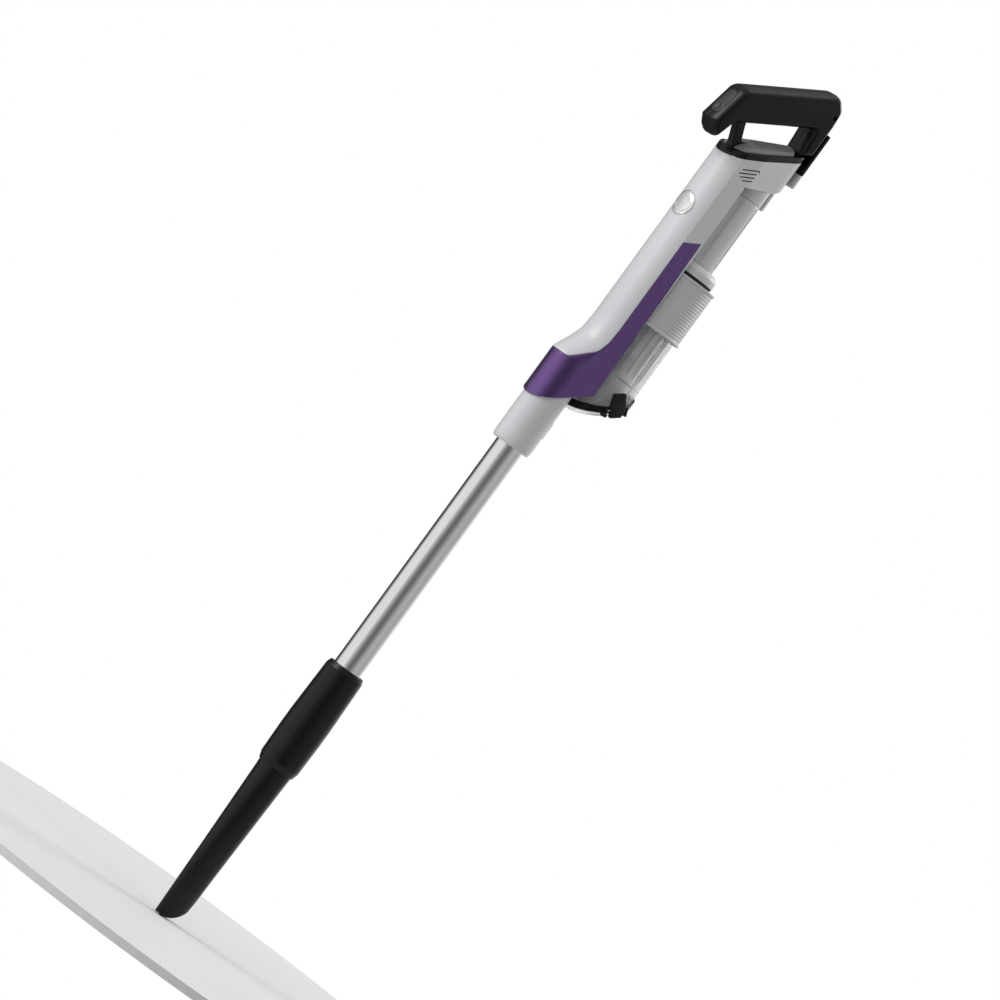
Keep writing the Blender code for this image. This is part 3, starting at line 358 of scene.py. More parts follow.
def side_tube(x_range, y, z, radius, bore=0.0, count=32):
    """A tube, or a rod where the bore is 0, along X, with softened ends."""
    x0, x1 = x_range
    chamfer = min(0.0004, 0.3 * radius)
    stations = [(radius - chamfer, x0), (radius, x0 + chamfer), (radius, x1 - chamfer),
                (radius - chamfer, x1)]
    if bore:
        stations += [(bore, x1), (bore, x0)]
    rings = [[(x, y + r * c, z + r * s) for c, s in round_steps(count)] for r, x in stations]
    return loft_mesh(rings, closed=bool(bore))


def thick_skin(mesh_data, thickness, rim=EDGE):
    """Gives an open skin a thickness, inwards, and rounds it over towards its rims."""
    mesh_data.normal_update()
    verts = list(mesh_data.verts)
    rims = [edge for edge in mesh_data.edges if edge.is_boundary]
    spots = []
    for edge in rims:
        a, b = edge.verts[0].co, edge.verts[1].co
        pieces = max(1, math.ceil((a - b).length / 0.0004))
        spots += [a.lerp(b, k / pieces) for k in range(pieces)]
    tree = KDTree(len(spots))
    for i, spot in enumerate(spots):
        tree.insert(spot, i)
    tree.balance()
    depth_at = thickness if callable(thickness) else lambda point: thickness
    twins = {}
    for vert in verts:
        away = min(rim, tree.find(vert.co)[2])
        sink = rim - math.sqrt(max(0.0, rim ** 2 - (rim - away) ** 2))
        place, normal = vert.co.copy(), vert.normal.copy()
        vert.co = place - normal * sink
        twins[vert] = mesh_data.verts.new(place - normal * depth_at(place))
    for face in list(mesh_data.faces):
        mesh_data.faces.new([twins[v] for v in reversed(face.verts)])
    for edge in rims:
        loop = edge.link_loops[0]
        a, b = loop.vert, loop.link_loop_next.vert
        mesh_data.faces.new([b, a, twins[a], twins[b]])
    return mesh_data


def moved(mesh_data, matrix):
    """Turns and moves a mesh in place, and gives it back."""
    bmesh.ops.transform(mesh_data, matrix=matrix, verts=mesh_data.verts[:])
    return mesh_data


def placing(x, y, z, angle, axis="Y"):
    """A turn round an axis, then a move."""
    return Matrix.Translation((x, y, z)) @ Matrix.Rotation(angle, 4, axis)


def shifted(mesh_data, x=0.0, y=0.0, z=0.0):
    return moved(mesh_data, Matrix.Translation((x, y, z)))


def facing_back(mesh_data, x, y, z):
    """Turns a shape drawn flat so that its Z points to +X and its X points down, and places it."""
    turn = Matrix(((0, 0, 1), (0, 1, 0), (-1, 0, 0))).to_4x4()
    return moved(mesh_data, Matrix.Translation((x, y, z)) @ turn)


def joined(*parts):
    """Several meshes in one, side by side."""
    whole = bmesh.new()
    for part in parts:
        scratch = bpy.data.meshes.new("scratch")
        part.to_mesh(scratch)
        part.free()
        whole.from_mesh(scratch)
        bpy.data.meshes.remove(scratch)
    return whole


def to_object(name, mesh_data):
    """A scene object from a mesh, which is used up."""
    bmesh.ops.recalc_face_normals(mesh_data, faces=mesh_data.faces[:])
    mesh = bpy.data.meshes.new(name)
    mesh_data.to_mesh(mesh)
    mesh_data.free()
    piece = bpy.data.objects.new(name, mesh)
    bpy.context.scene.collection.objects.link(piece)
    return piece


def carve(mesh_data, cutters, operation="DIFFERENCE", crossing=False):
    """Cuts meshes out of a mesh, or joins them on. Crossing allows a mesh that meets itself."""
    piece = to_object("carved", mesh_data)
    tools = [to_object("cutter", cutter) for cutter in cutters]
    for tool in tools:
        modifier = piece.modifiers.new("carve", "BOOLEAN")
        modifier.solver = "EXACT"
        modifier.operation = operation
        modifier.use_self = crossing
        modifier.object = tool
    bpy.context.view_layer.update()
    seen = piece.evaluated_get(bpy.context.evaluated_depsgraph_get())
    result = bmesh.new()
    result.from_mesh(seen.to_mesh())
    seen.to_mesh_clear()
    for old in [piece, *tools]:
        mesh = old.data
        bpy.data.objects.remove(old, do_unlink=True)
        bpy.data.meshes.remove(mesh)
    return result


def add_piece(name, mesh_data, slot, body, nodes, sharp_deg=32, material=None):
    """Puts a finished mesh on the frame: it rides on a body and stands for some CAD nodes."""
    piece = to_object(name, shifted(mesh_data, AXIS_X))
    piece.data.materials.append(MATERIALS[material or slot])
    piece.data.shade_smooth()
    piece.data.set_sharp_from_angle(angle=math.radians(sharp_deg))
    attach(piece, body)
    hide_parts(*nodes)
# ---------------------------------------------------------------- materials
class Nodes:
    """A short way of writing the node tree of a material or a world."""

    def __init__(self, owner):
        owner.use_nodes = True
        self.owner, self.tree = owner, owner.node_tree
        self.ways = self.add("ShaderNodeTexCoord").outputs
        self.place = self.ways["Object"]

    def put(self, target, value):
        if isinstance(value, bpy.types.NodeSocket):
            self.tree.links.new(value, target)
        else:
            target.default_value = value

    def add(self, kind, inputs=(), **settings):
        """Adds a node. Its inputs are given by name or number, as sockets or plain values."""
        node = self.tree.nodes.new(kind)
        for key, value in settings.items():
            setattr(node, key, value)
        for key, value in dict(inputs).items():
            self.put(node.inputs[key], value)
        return node

    def math(self, operation, *values):
        return self.add("ShaderNodeMath", enumerate(values), operation=operation).outputs[0]

    def noise(self, scale, detail=2.0, roughness=0.55, stretch=(1, 1, 1)):
        spot = self.add("ShaderNodeMapping", {"Vector": self.place, "Scale": stretch})
        return self.add("ShaderNodeTexNoise", {"Vector": spot.outputs["Vector"], "Scale": scale,
                                               "Detail": detail, "Roughness": roughness}).outputs["Fac"]

    def spread(self, value, low, high, at=(0.3, 0.7), **settings):
        return self.add("ShaderNodeMapRange", {"Value": value, "From Min": at[0], "From Max": at[1],
                                               "To Min": low, "To Max": high},
                        **settings).outputs["Result"]

    def mix(self, factor, first, second):
        return self.add("ShaderNodeMix", {"Factor": factor, 6: first, 7: second},
                        data_type="RGBA").outputs[2]

    def worn(self, colour, wear_colour, amount):
        """Lightens the convex edges, unevenly, as handling does."""
        edge = self.add("ShaderNodeNewGeometry").outputs["Pointiness"]
        sharp = self.spread(edge, 0.0, 1.0, (0.53, 0.62))
        patchy = self.spread(self.noise(90.0, 3.0), 0.2, 1.0)
        factor = self.math("MULTIPLY", self.math("MULTIPLY", sharp, patchy), amount)
        return self.mix(factor, colour, wear_colour)

    def surface(self, colour, roughness, heights, **constants):
        """Fills in the shader. Heights are (height, depth in metres) pairs, stacked into one bump."""
        normal = {}
        for height, depth in heights:
            bump = self.add("ShaderNodeBump", {"Strength": 1.0, "Distance": depth, "Height": height,
                                               **normal})
            normal = {"Normal": bump.outputs["Normal"]}
        values = {"Base Color": colour, "Roughness": roughness, **normal,
                  **{key.replace("_", " "): value for key, value in constants.items()}}
        for key, value in values.items():
            self.put(self.tree.nodes["Principled BSDF"].inputs[key], value)
        return self.owner


def new_material(name):
    return Nodes(bpy.data.materials.new(name))


def tint(colour, factor):
    return tuple(min(1.0, c * factor) for c in colour) + (1.0,)


def moulded(name, colour, roughness, grain=0.00002, grain_scale=2600.0, variation=0.05,
            wear=0.25, **constants):
    """Injection-moulded plastic: spark-eroded grain, faint flow marks, polished or scuffed edges."""
    nodes = new_material(name)
    flow = nodes.spread(nodes.noise(14.0, 3.0, 0.5, (1, 1, 0.35)), 0.0, 1.0)
    smudge = nodes.noise(55.0, 4.0)
    base = nodes.mix(flow, tint(colour, 1 - variation), tint(colour, 1 + variation))
    base = nodes.mix(nodes.spread(smudge, 0.0, 0.35, (0.5, 0.8)), base,
                     tint(colour, 1 - 1.5 * variation))
    return nodes.surface(nodes.worn(base, tint(colour, 1.25), wear),
                         nodes.spread(smudge, roughness - 0.05, roughness + 0.06, (0.35, 0.7)),
                         ((nodes.noise(30.0, 1.0), 0.00006),
                          (nodes.noise(grain_scale, 2.0, 0.6), grain)), **constants)


def satin_metallic(name, colour, flake_colour, roughness):
    """Metallic lacquer: a coloured base with fine flakes under a thin clear coat."""
    nodes = new_material(name)
    flake = nodes.add("ShaderNodeTexVoronoi", {"Vector": nodes.place, "Scale": 3800.0})
    glint = nodes.spread(flake.outputs["Color"], 0.0, 0.5, (0.55, 1.0))
    base = nodes.mix(nodes.spread(nodes.noise(16.0, 3.0), 0.0, 1.0), tint(colour, 0.94),
                     tint(colour, 1.06))
    base = nodes.mix(glint, base, (*flake_colour, 1.0))
    return nodes.surface(nodes.worn(base, tint(flake_colour, 1.4), 0.3),
                         nodes.spread(nodes.noise(60.0, 4.0), roughness - 0.04, roughness + 0.05),
                         ((nodes.noise(26.0, 1.0), 0.00002), (nodes.noise(2400.0, 1.0), 0.000008)),
                         Metallic=0.78, Coat_Weight=0.25, Coat_Roughness=0.22, IOR=1.5)


def drawn_metal(name, colour, roughness, along=(1, 1, 0.02), streak=0.08, wear=0.15):
    """Plated or drawn metal: fine lines along its length, light scratches and a little haze."""
    nodes = new_material(name)
    lines = nodes.noise(900.0, 3.0, 0.6, along)
    haze = nodes.noise(22.0, 4.0, 0.6, (1, 1, 0.5))
    base = nodes.mix(nodes.spread(lines, 0.0, 1.0), tint(colour, 1 - streak),
                     tint(colour, 1 + 0.4 * streak))
    base = nodes.mix(nodes.spread(haze, 0.0, 0.5, (0.45, 0.8)), base, tint(colour, 0.92))
    rough = nodes.math("ADD", nodes.spread(lines, roughness - 0.03, roughness + 0.03),
                       nodes.spread(haze, -0.02, 0.05))
    return nodes.surface(nodes.worn(base, tint(colour, 1.1), wear), rough,
                         ((lines, 0.000002), (nodes.noise(420.0, 2.0, 0.5, (1, 1, 0.08)), 0.000003)),
                         Metallic=1.0)


def clear_plastic(name, colour, roughness):
    """Clear polycarbonate with a faint grey tint, moulding ripple, dust and fine scuffs."""
    nodes = new_material(name)
    dust = nodes.noise(160.0, 5.0, 0.65)
    scuff = nodes.noise(700.0, 2.0, 0.5, (1, 1, 0.1))
    base = nodes.mix(nodes.spread(dust, 0.0, 0.5, (0.5, 0.8)), (*colour, 1.0), tint(colour, 0.82))
    rough = nodes.math("ADD", nodes.spread(dust, roughness, roughness + 0.06, (0.5, 0.8)),
                       nodes.spread(scuff, 0.0, 0.05, (0.6, 0.8)))
    return nodes.surface(nodes.worn(base, (0.95, 0.96, 0.97, 1.0), 0.2), rough,
                         ((nodes.noise(40.0, 1.0), 0.00004), (scuff, 0.000004)),
                         Transmission_Weight=1.0, IOR=1.45, Alpha=0.45)


def woven_filter(name, colour):
    """Pleated filter fleece: soft ridges, fibres and trapped dust."""
    nodes = new_material(name)
    fibre = nodes.noise(1500.0, 4.0, 0.7)
    base = nodes.mix(nodes.spread(fibre, 0.0, 1.0), tint(colour, 0.8), tint(colour, 1.1))
    base = nodes.mix(nodes.spread(nodes.noise(120.0, 4.0), 0.0, 0.5, (0.5, 0.75)), base,
                     tint(colour, 0.6))
    return nodes.surface(base, nodes.spread(fibre, 0.85, 0.98),
                         ((nodes.noise(240.0, 2.0, 0.5, (1, 1, 0.1)), 0.0003), (fibre, 0.00008)),
                         Sheen_Weight=0.2)


def wound_copper(name):
    """Enamelled copper wire in close turns, darker between the turns: painted shade in the grooves."""
    nodes = new_material(name)
    turns = nodes.add("ShaderNodeTexWave", {"Vector": nodes.place, "Scale": 420.0, "Distortion": 2.0},
                      bands_direction="Z").outputs["Fac"]
    # Dark copper where the wave dips between turns, copper colour on the turns: painted shade in the
    # grooves.
    return nodes.surface(nodes.mix(turns, (0.22, 0.06, 0.02, 1), (0.72, 0.28, 0.10, 1)),
                         nodes.spread(nodes.noise(200.0), 0.25, 0.4), ((turns, 0.0002),),
                         Metallic=0.9, Coat_Weight=0.3)


def laminate(name):
    """A circuit board: solder mask over copper tracks, with the glass weave showing through."""
    nodes = new_material(name)
    brick = nodes.add("ShaderNodeTexBrick", {
        "Vector": nodes.place, "Scale": 160.0, "Mortar Size": 0.03, "Mortar": (0.30, 0.25, 0.08, 1),
        "Color1": (0.01, 0.09, 0.035, 1), "Color2": (0.012, 0.12, 0.05, 1)}).outputs
    weave = nodes.noise(1800.0, 2.0)
    return nodes.surface(nodes.mix(nodes.spread(weave, 0.0, 0.3), brick["Color"], (0.02, 0.16, 0.07, 1)),
                         nodes.spread(weave, 0.28, 0.4), ((brick["Fac"], -0.00005), (weave, 0.00001)))


def perforated(name, colour, hole_shade_colour, across, pitch):
    """A cyclone screen: rows of small round holes in a thin plastic drum round the bin's axis, painted
    on as darker dots, painted shade where the drum's dark inside would show through.
    """
    nodes = new_material(name)
    apart = nodes.add("ShaderNodeSeparateXYZ", {0: nodes.place}).outputs
    x = nodes.math("SUBTRACT", apart["X"], AXIS_X + BIN_X)
    turn = nodes.math("MULTIPLY", nodes.math("ARCTAN2", apart["Y"], x), float(across))
    rows = nodes.math("MULTIPLY", apart["Z"], 2 * math.pi / pitch)
    grid = nodes.math("ADD", nodes.math("COSINE", turn), nodes.math("COSINE", rows))
    # The holes are painted darker: painted shade in place of the drum's shadowed inside.
    holes = nodes.spread(grid, 0.0, 1.0, (0.75, 1.05))
    base = nodes.mix(nodes.spread(nodes.noise(60.0, 4.0), 0.0, 1.0), tint(colour, 0.85),
                     tint(colour, 1.12))
    return nodes.surface(nodes.mix(holes, base, (*hole_shade_colour, 1.0)),
                         nodes.spread(holes, 0.34, 0.8, (0.0, 1.0)), ((holes, -0.0003),), Metallic=0.2)


def wrapped_cell(name):
    """Shrink wrap over a battery cell: glossy film with fine wrinkles."""
    nodes = new_material(name)
    wrinkle = nodes.noise(260.0, 3.0, 0.5, (1, 1, 0.2))
    return nodes.surface(nodes.mix(nodes.spread(wrinkle, 0.0, 1.0), (0.02, 0.16, 0.30, 1),
                                   (0.03, 0.22, 0.38, 1)),
                         nodes.spread(wrinkle, 0.22, 0.35), ((wrinkle, 0.00008),))


MATERIALS = {
    "body_plastic": moulded("silver_plastic", (0.64, 0.643, 0.665), 0.34, 0.000012, 2200.0, 0.03,
                            Coat_Weight=0.12, Coat_Roughness=0.30),
    "trim_plastic": satin_metallic("purple_lacquer", (0.100, 0.046, 0.183), (0.41, 0.25, 0.62), 0.25),
    "black_plastic": moulded("black_plastic", (0.0052, 0.0052, 0.0044), 0.30, 0.00003, 1900.0, 0.12,
                             0.6, Specular_IOR_Level=0.24),
    "chrome_tube": drawn_metal("chromed_steel", (0.72, 0.72, 0.73), 0.11),
    "grey_plastic": moulded("grey_plastic", (0.58, 0.58, 0.60), 0.42, 0.00002, 2100.0, 0.04),
    "grille_plastic": moulded("smoked_grille", (0.26, 0.26, 0.268), 0.40, 0.00002, 2100.0, 0.08),
    "clear_plastic": clear_plastic("clear_polycarbonate", (0.93, 0.94, 0.95), 0.02),
    "dark_plastic": moulded("dark_plastic", (0.035, 0.035, 0.037), 0.48, 0.00003, 1700.0, 0.12, 0.4),
    "display_lens": moulded("smoked_lens", (0.020, 0.020, 0.021), 0.20, 0.000002, 900.0, 0.10,
                            Coat_Weight=0.3, Coat_Roughness=0.08),
    "button_plastic": moulded("button_plastic", (0.045, 0.045, 0.047), 0.30, 0.00001, 2300.0, 0.08),
    "badge": moulded("plated_badge", (0.66, 0.66, 0.68), 0.22, 0.000006, 2300.0, 0.04, Metallic=0.45),
    "rubber": moulded("black_rubber", (0.018, 0.018, 0.018), 0.72, 0.00006, 1200.0, 0.18, 0.5),
    "steel": drawn_metal("steel", (0.48, 0.48, 0.49), 0.28),
    "motor_metal": drawn_metal("cast_aluminium", (0.58, 0.59, 0.60), 0.38, (1, 1, 1)),
    "copper": wound_copper("copper_windings"),
    "filter": woven_filter("filter_fleece", (0.62, 0.62, 0.60)),
    "cell_wrap": wrapped_cell("cell_wrap"),
    "circuit_board": laminate("circuit_board"),
    # A lighter copy of the grey plastic for the air column, the cap and the shroud's skirt: painted
    # light, brightened where the grey came out too dark, the skirt in the shade inside the clear bin.
    "column": moulded("grey_plastic_painted_lighter", (0.70, 0.70, 0.72), 0.38, 0.00002, 2100.0, 0.04),
    # The second colour is the holes' painted shade.
    "screen": perforated("cyclone_screen", (0.82, 0.82, 0.83), (0.46, 0.46, 0.46), 108, 0.0016),
}


def paint_frame():
    """Gives each CAD node that stays the detailed material of its slot."""
    slot_of = {entry["node"]: entry["material_slot"] for entry in frame["record"]["subparts"]}
    for name, node in frame["nodes"].items():
        for place in node.material_slots:
            place.material = MATERIALS[slot_of[name]]


# ---------------------------------------------------------------- wand and crevice tool
def tool_ring(height, inset=0.0, mouth=False, round_lip=0.0):
    """One oval section of the crevice tool. The mouth is slanted and round-nosed."""
    share = min(1.0, height / TOOL_NECK_Z)
    long_axis = TOOL_TIP_AXES[0] + (TOOL_NECK_R - TOOL_TIP_AXES[0]) * share - inset
    short_axis = TOOL_TIP_AXES[1] + (TOOL_NECK_R - TOOL_TIP_AXES[1]) * share - inset
    return [(long_axis * c, short_axis * s, mouth_height(c) + round_lip if mouth else height)
            for c, s in round_steps(ROUND)]


def mouth_height(across):
    """Height of the tool's cut-off mouth, from its front (-1) to its back (1)."""
    def rise(t):
        return MOUTH_RISE * t ** 2.2 + 0.0040 * max(0.0, 1 - t / 0.15) ** 2
    lowest = min(rise(k / 60) for k in range(61))
    return rise((max(-1.0, min(1.0, across)) + 1) / 2) - lowest


def build_crevice_tool():
    """A tapering flat nozzle with a rolled lip and a neck that plugs into the sleeve."""
    lip = 0.0006
    heights = [0.030 + (TOOL_NECK_Z - 0.030) * i / 14 for i in range(15)]
    rings = [tool_ring(0.0, lip, True), tool_ring(0.0, 0.3 * lip, True, 0.25 * lip),
             tool_ring(0.0, 0.0, True, lip), tool_ring(0.0, 0.0, True, 0.004)]
    rings += [tool_ring(height) for height in heights]
    neck = soften([(TOOL_NECK_R, TOOL_NECK_Z), (SPIGOT_R, TOOL_NECK_Z + 0.002), (SPIGOT_R, SPIGOT_TOP_Z),
                   (SPIGOT_R - TOOL_WALL, SPIGOT_TOP_Z)], 0.0006, 3, closed=False)
    rings += [circle(0, r, z) for r, z in neck[1:]]
    rings += [tool_ring(height, TOOL_WALL) for height in reversed(heights)]
    rings += [tool_ring(0.0, TOOL_WALL, True, 0.004), tool_ring(0.0, TOOL_WALL - 0.0002, True)]
    tool = loft_mesh(rings, closed=True)
    add_piece("crevice_nozzle", tool, "black_plastic", "crevice_tool", ["crevice_tool"])


def button_mesh(z_range):
    """A push button in the +X side, dished for a thumb and ridged for grip."""
    low, high = z_range
    depth = BUTTON_X[1] - BUTTON_X[0]
    half_h = (high - low) / 2
    cap = pillow(rectangle(half_h, BUTTON_HALF_W), 0.0, depth, 0.0011, 0.0022, 5, 0.0002)
    ridges = []
    for k in range(-2, 3):
        ridge = pillow(rectangle(0.0007, BUTTON_HALF_W * 0.62), depth - 0.0014, depth + 0.0001,
                       0.0004, 0.0005, 3, 0.0001)
        ridges.append(shifted(ridge, 0.0030 * k))
    dish = moved(turned([(0.0, -0.0150), (0.0130, -0.0075), (0.0150, 0.0), (0.0130, 0.0075),
                         (0.0, 0.0150)], count=48), Matrix.Rotation(math.pi / 2, 4, "X"))
    button = carve(cap, [shifted(dish, z=depth + 0.0139)])
    return facing_back(joined(button, *ridges), BUTTON_X[0], 0, (low + high) / 2)


def button_pocket(z_range):
    """The hole that a push button sits in, with a soft edge all round."""
    low, high = z_range
    outline = rectangle((high - low) / 2 + GAP, BUTTON_HALF_W + GAP)
    hole = pillow(outline, 0.0, 0.0130, 0.0002, 0.0024, 5, 0.0002)
    return facing_back(hole, BUTTON_X[0] - 0.0022, 0, (low + high) / 2)


def build_wand():
    """The chromed tube, the dark sleeve round its lower end and the sleeve's release button."""
    inner = WAND_R - WAND_WALL
    tube = [(WAND_R - 0.0002, WAND_LOW), (WAND_R, WAND_LOW + 0.0004)]
    tube += [(WAND_R, WAND_LOW + (WAND_TOP - WAND_LOW) * i / 24) for i in range(1, 24)]
    tube += [(WAND_R, WAND_TOP - 0.0004), (WAND_R - 0.0002, WAND_TOP), (inner, WAND_TOP),
             (inner, WAND_LOW)]
    add_piece("wand_pipe", turned(tube, count=128), "chrome_tube", "wand", ["wand_tube"], 50)

    outer = [(0.0226, SLEEVE_LOW), (0.0252, SLEEVE_LOW + 0.0085), (SLEEVE_R, SLEEVE_LOW + 0.050),
             (SLEEVE_R, 0.275), (0.0243, SLEEVE_TOP - 0.006), (0.0220, SLEEVE_TOP)]
    radii = (0.0006, 0.003, 0.060, 0.060, 0.003, 0.0008, 0.0004, 0, 0, 0.0004)
    bore = [(BORE_R, SLEEVE_TOP), (BORE_R, 0.2430), (0.0216, 0.2400), (0.0216, SLEEVE_LOW)]
    profile = soften(outer + bore, radii, 6)
    sleeve = carve(turned(profile), [button_pocket(TOOL_BUTTON_Z)])
    add_piece("sleeve_grip", sleeve, "black_plastic", "wand", ["tool_sleeve"])
    add_piece("tool_button_cap", button_mesh(TOOL_BUTTON_Z), "black_plastic", "tool_button",
              ["tool_release_button"])


def build_wand_socket():
    """The light socket that the wand plugs into. Its top is slanted like the trim above it."""
    seat = TRIM_LOW_Z + 0.0065
    throat = 0.0120
    profile = [(0.0226, SOCKET_LOW, 0), (0.0242, SOCKET_LOW + 0.0022, 0), (SOCKET_R, 0.667, 0),
               (SOCKET_R, 0.700, 0), (SOCKET_R, seat, 1), (throat, seat, 1), (throat, 0.7225, 0),
               (BORE_R, 0.7215, 0), (BORE_R, SOCKET_LOW, 0)]
    radii = (0.0006, 0.0014, 0.003, 0, 0, 0, 0, 0, 0.0005)
    socket = turned(soften(profile, radii, 5), slope=LOW_SLOPE)
    socket = carve(socket, [button_pocket(WAND_BUTTON_Z)])
    add_piece("socket_sleeve", socket, "body_plastic", "body", ["wand_socket"])
    add_piece("wand_button_cap", button_mesh(WAND_BUTTON_Z), "body_plastic", "wand_button",
              ["wand_release_button"])


# ---------------------------------------------------------------- body
def front_share(height):
    """How far the body's front has grown from the round low end into the flatter column."""
    return interpolate(FLARE, height)


def column_at(station, height):
    """A point of the body's outside: stations run -2 (rear left), -1, 0 (front), 1, 2 (rear right)."""
    share = front_share(height)
    radius = SIDE_Y + (FRONT_ARC_R - SIDE_Y) * share
    centre = FRONT_ARC_X * share
    spread = math.asin(min(1.0, SIDE_Y / radius))
    if abs(station) <= 1:
        angle = station * spread
        return Vector((centre - radius * math.cos(angle), radius * math.sin(angle), height))
    corner_x = centre - radius * math.cos(spread)
    side = 1 if station > 0 else -1
    x = corner_x + (abs(station) - 1) * (REAR_X - corner_x)
    return Vector((x, side * SIDE_Y, height))


def trim_low(station):
    """Height of the trim's slanted lower edge."""
    x = column_at(station, TRIM_LOW_Z).x
    return TRIM_LOW_Z + LOW_SLOPE * x


def trim_shoulder(station):
    """Height of the trim's curved upper edge on the body's front."""
    at = max(-1.0, min(1.0, station))
    low, high = 0.7795, 0.8590
    for _ in range(30):
        middle = (low + high) / 2
        if column_at(at, middle).x < interpolate(TRIM_EDGE, middle):
            high = middle
        else:
            low = middle
    return low


def stripe_top(x):
    return STRIPE_TOP_Z + (x - STRIPE_X) * TOP_SLOPE


def under_head(x):
    """Height of the head's underside, which rises to the rear and then turns up."""
    chamfer = max(0.0, x - HEAD_CHAMFER_X)
    return (HEAD_UNDER_Z + HEAD_UNDER_SLOPE * (min(x, HEAD_CHAMFER_X) - REAR_X) +
            HEAD_CHAMFER_SLOPE * chamfer)


def head_top(x):
    return RING_Z - 0.0003 + TOP_SLOPE * x


def side_stations(side):
    """Stations along one flat side, close together at both ends."""
    length = REAR_X - STRIPE_X
    steps = set(steps_between(0.0, length, 11)[1:])
    steps |= {length - STRIPE_CUT * k / 6 for k in range(2, 8)}
    return [side * (1 + step / length) for step in sorted(steps)]


ARC_STATIONS = [i / 28 for i in range(-28, 29)]
LEFT_STATIONS = list(reversed(side_stations(-1)))
RIGHT_STATIONS = side_stations(1)
SHELL_STATIONS = LEFT_STATIONS + ARC_STATIONS + RIGHT_STATIONS


class Skin:
    """An open skin that grows column by column, clockwise seen from above, and faces outwards."""

    def __init__(self):
        self.mesh = bmesh.new()
        self.known = {}

    def point(self, place):
        key = tuple(round(c * 1e6) for c in place)
        if key not in self.known:
            self.known[key] = self.mesh.verts.new(place)
        return self.known[key]

    def patch(self, columns):
        rows = [[self.point(p) for p in column] for column in columns]
        for column_a, column_b in zip(rows, rows[1:]):
            for i in range(len(column_a) - 1):
                add_face(self.mesh, column_a[i], column_a[i + 1], column_b[i + 1], column_b[i])

    def grow(self, stations, heights_at, place=column_at):
        """Adds a patch over some stations, each with its own heights from the bottom up."""
        self.patch([[place(station, z) for z in heights_at(station)] for station in stations])


def stripe_rear(z):
    """How far back the trim reaches: to the rear edge low down, a little less higher up."""
    low, high = STRIPE_CUT_Z
    return REAR_X - STRIPE_CUT * min(1.0, max(0.0, (z - low) / (high - low)))


def trim_at(station, z):
    """A point of the trim's outside: the body's, drawn in towards the stripe's rear edge."""
    place = column_at(station, z)
    if abs(station) > 1:
        corner = column_at(1.0, z).x
        place.x = corner + (place.x - corner) * (stripe_rear(z) - corner) / (REAR_X - corner)
    return place


def build_side_trim():
    """The coloured shell: a band round the low end, and a stripe up each side of the column."""
    shoulder = trim_shoulder(1.0)

    def band_heights(station):
        top = trim_shoulder(station) if abs(station) < 1 else shoulder
        return steps_between(trim_low(station), top, 26)

    def stripe_heights(station):
        top = stripe_top(column_at(station, STRIPE_TOP_Z).x)
        return steps_between(shoulder, top, 30, soft_start=False)

    skin = Skin()
    skin.grow(SHELL_STATIONS, band_heights, trim_at)
    for side in (LEFT_STATIONS + [-1.0], [1.0] + RIGHT_STATIONS):
        skin.grow(side, stripe_heights, trim_at)
    trim = thick_skin(skin.mesh, TRIM_SKIN, 0.0006)
    add_piece("trim_shell", trim, "trim_plastic", "body", ["side_trim"], 40)


def rear_arc(radius, steps):
    """The head's round end, from its right side to its left."""
    turns = [HEAD_REAR_SPREAD * (1 - 2 * i / steps) for i in range(steps + 1)]
    return [(HEAD_REAR_X + radius * math.cos(turn), radius * math.sin(turn)) for turn in turns]


def head_path():
    """The head's plan behind the column, from its right side round the back to its left side."""
    steps = 14
    rear = rear_arc(HEAD_REAR_R, 16)
    start, end = (REAR_X, SIDE_Y), (REAR_X, -SIDE_Y)
    first = [blend((start, rear[0]), (1 - k / steps, k / steps)) for k in range(1, steps)]
    last = [blend((rear[-1], end), (1 - k / steps, k / steps)) for k in range(1, steps)]
    return first + rear + last


def vent_cutters():
    """Four slanted slots with round ends, cut into each side of the head."""
    cutters = []
    for i, start_x in enumerate(VENT_STARTS_X):
        end_z = VENT_TOP_Z - i * VENT_PITCH
        length = (VENT_END_X - start_x) / math.cos(TOP_TILT)
        slot = soften(rectangle(length / 2, VENT_H / 2), VENT_H / 2.05, 6)
        middle_x = (VENT_END_X + start_x) / 2
        middle_z = end_z - TOP_SLOPE * (VENT_END_X - middle_x) + VENT_H / 2
        place = placing(middle_x, 0, middle_z, -TOP_TILT) @ Matrix.Rotation(math.pi / 2, 4, "X")
        for side in (-1, 1):
            cutters.append(moved(plate(slot, sorted((side * 0.0200, side * 0.0400))), place))
    return cutters


def beside_stripe(x):
    """Lowest point of the housing at x, where it runs down behind the stripe's rear edge."""
    if x < REAR_X - STRIPE_CUT + SEAM:
        return STRIPE_CUT_Z[1] + 1.0
    share = (REAR_X - x + SEAM) / STRIPE_CUT
    return STRIPE_CUT_Z[0] + share * (STRIPE_CUT_Z[1] - STRIPE_CUT_Z[0])


def housing_lining():
    """The housing's inner wall, behind the trim."""
    def heights(station):
        low = trim_low(station) + 0.0090
        return [low + (stripe_top(STRIPE_X) - 0.002 - low) * k / 30 for k in range(31)]

    liner = Skin()
    liner.grow(SHELL_STATIONS, heights)
    liner.mesh.normal_update()
    depth = TRIM_SKIN + 0.0008
    for vert in liner.mesh.verts:
        vert.co -= vert.normal * depth
    return thick_skin(liner.mesh, SIDE_SKIN - depth, 0.0004)


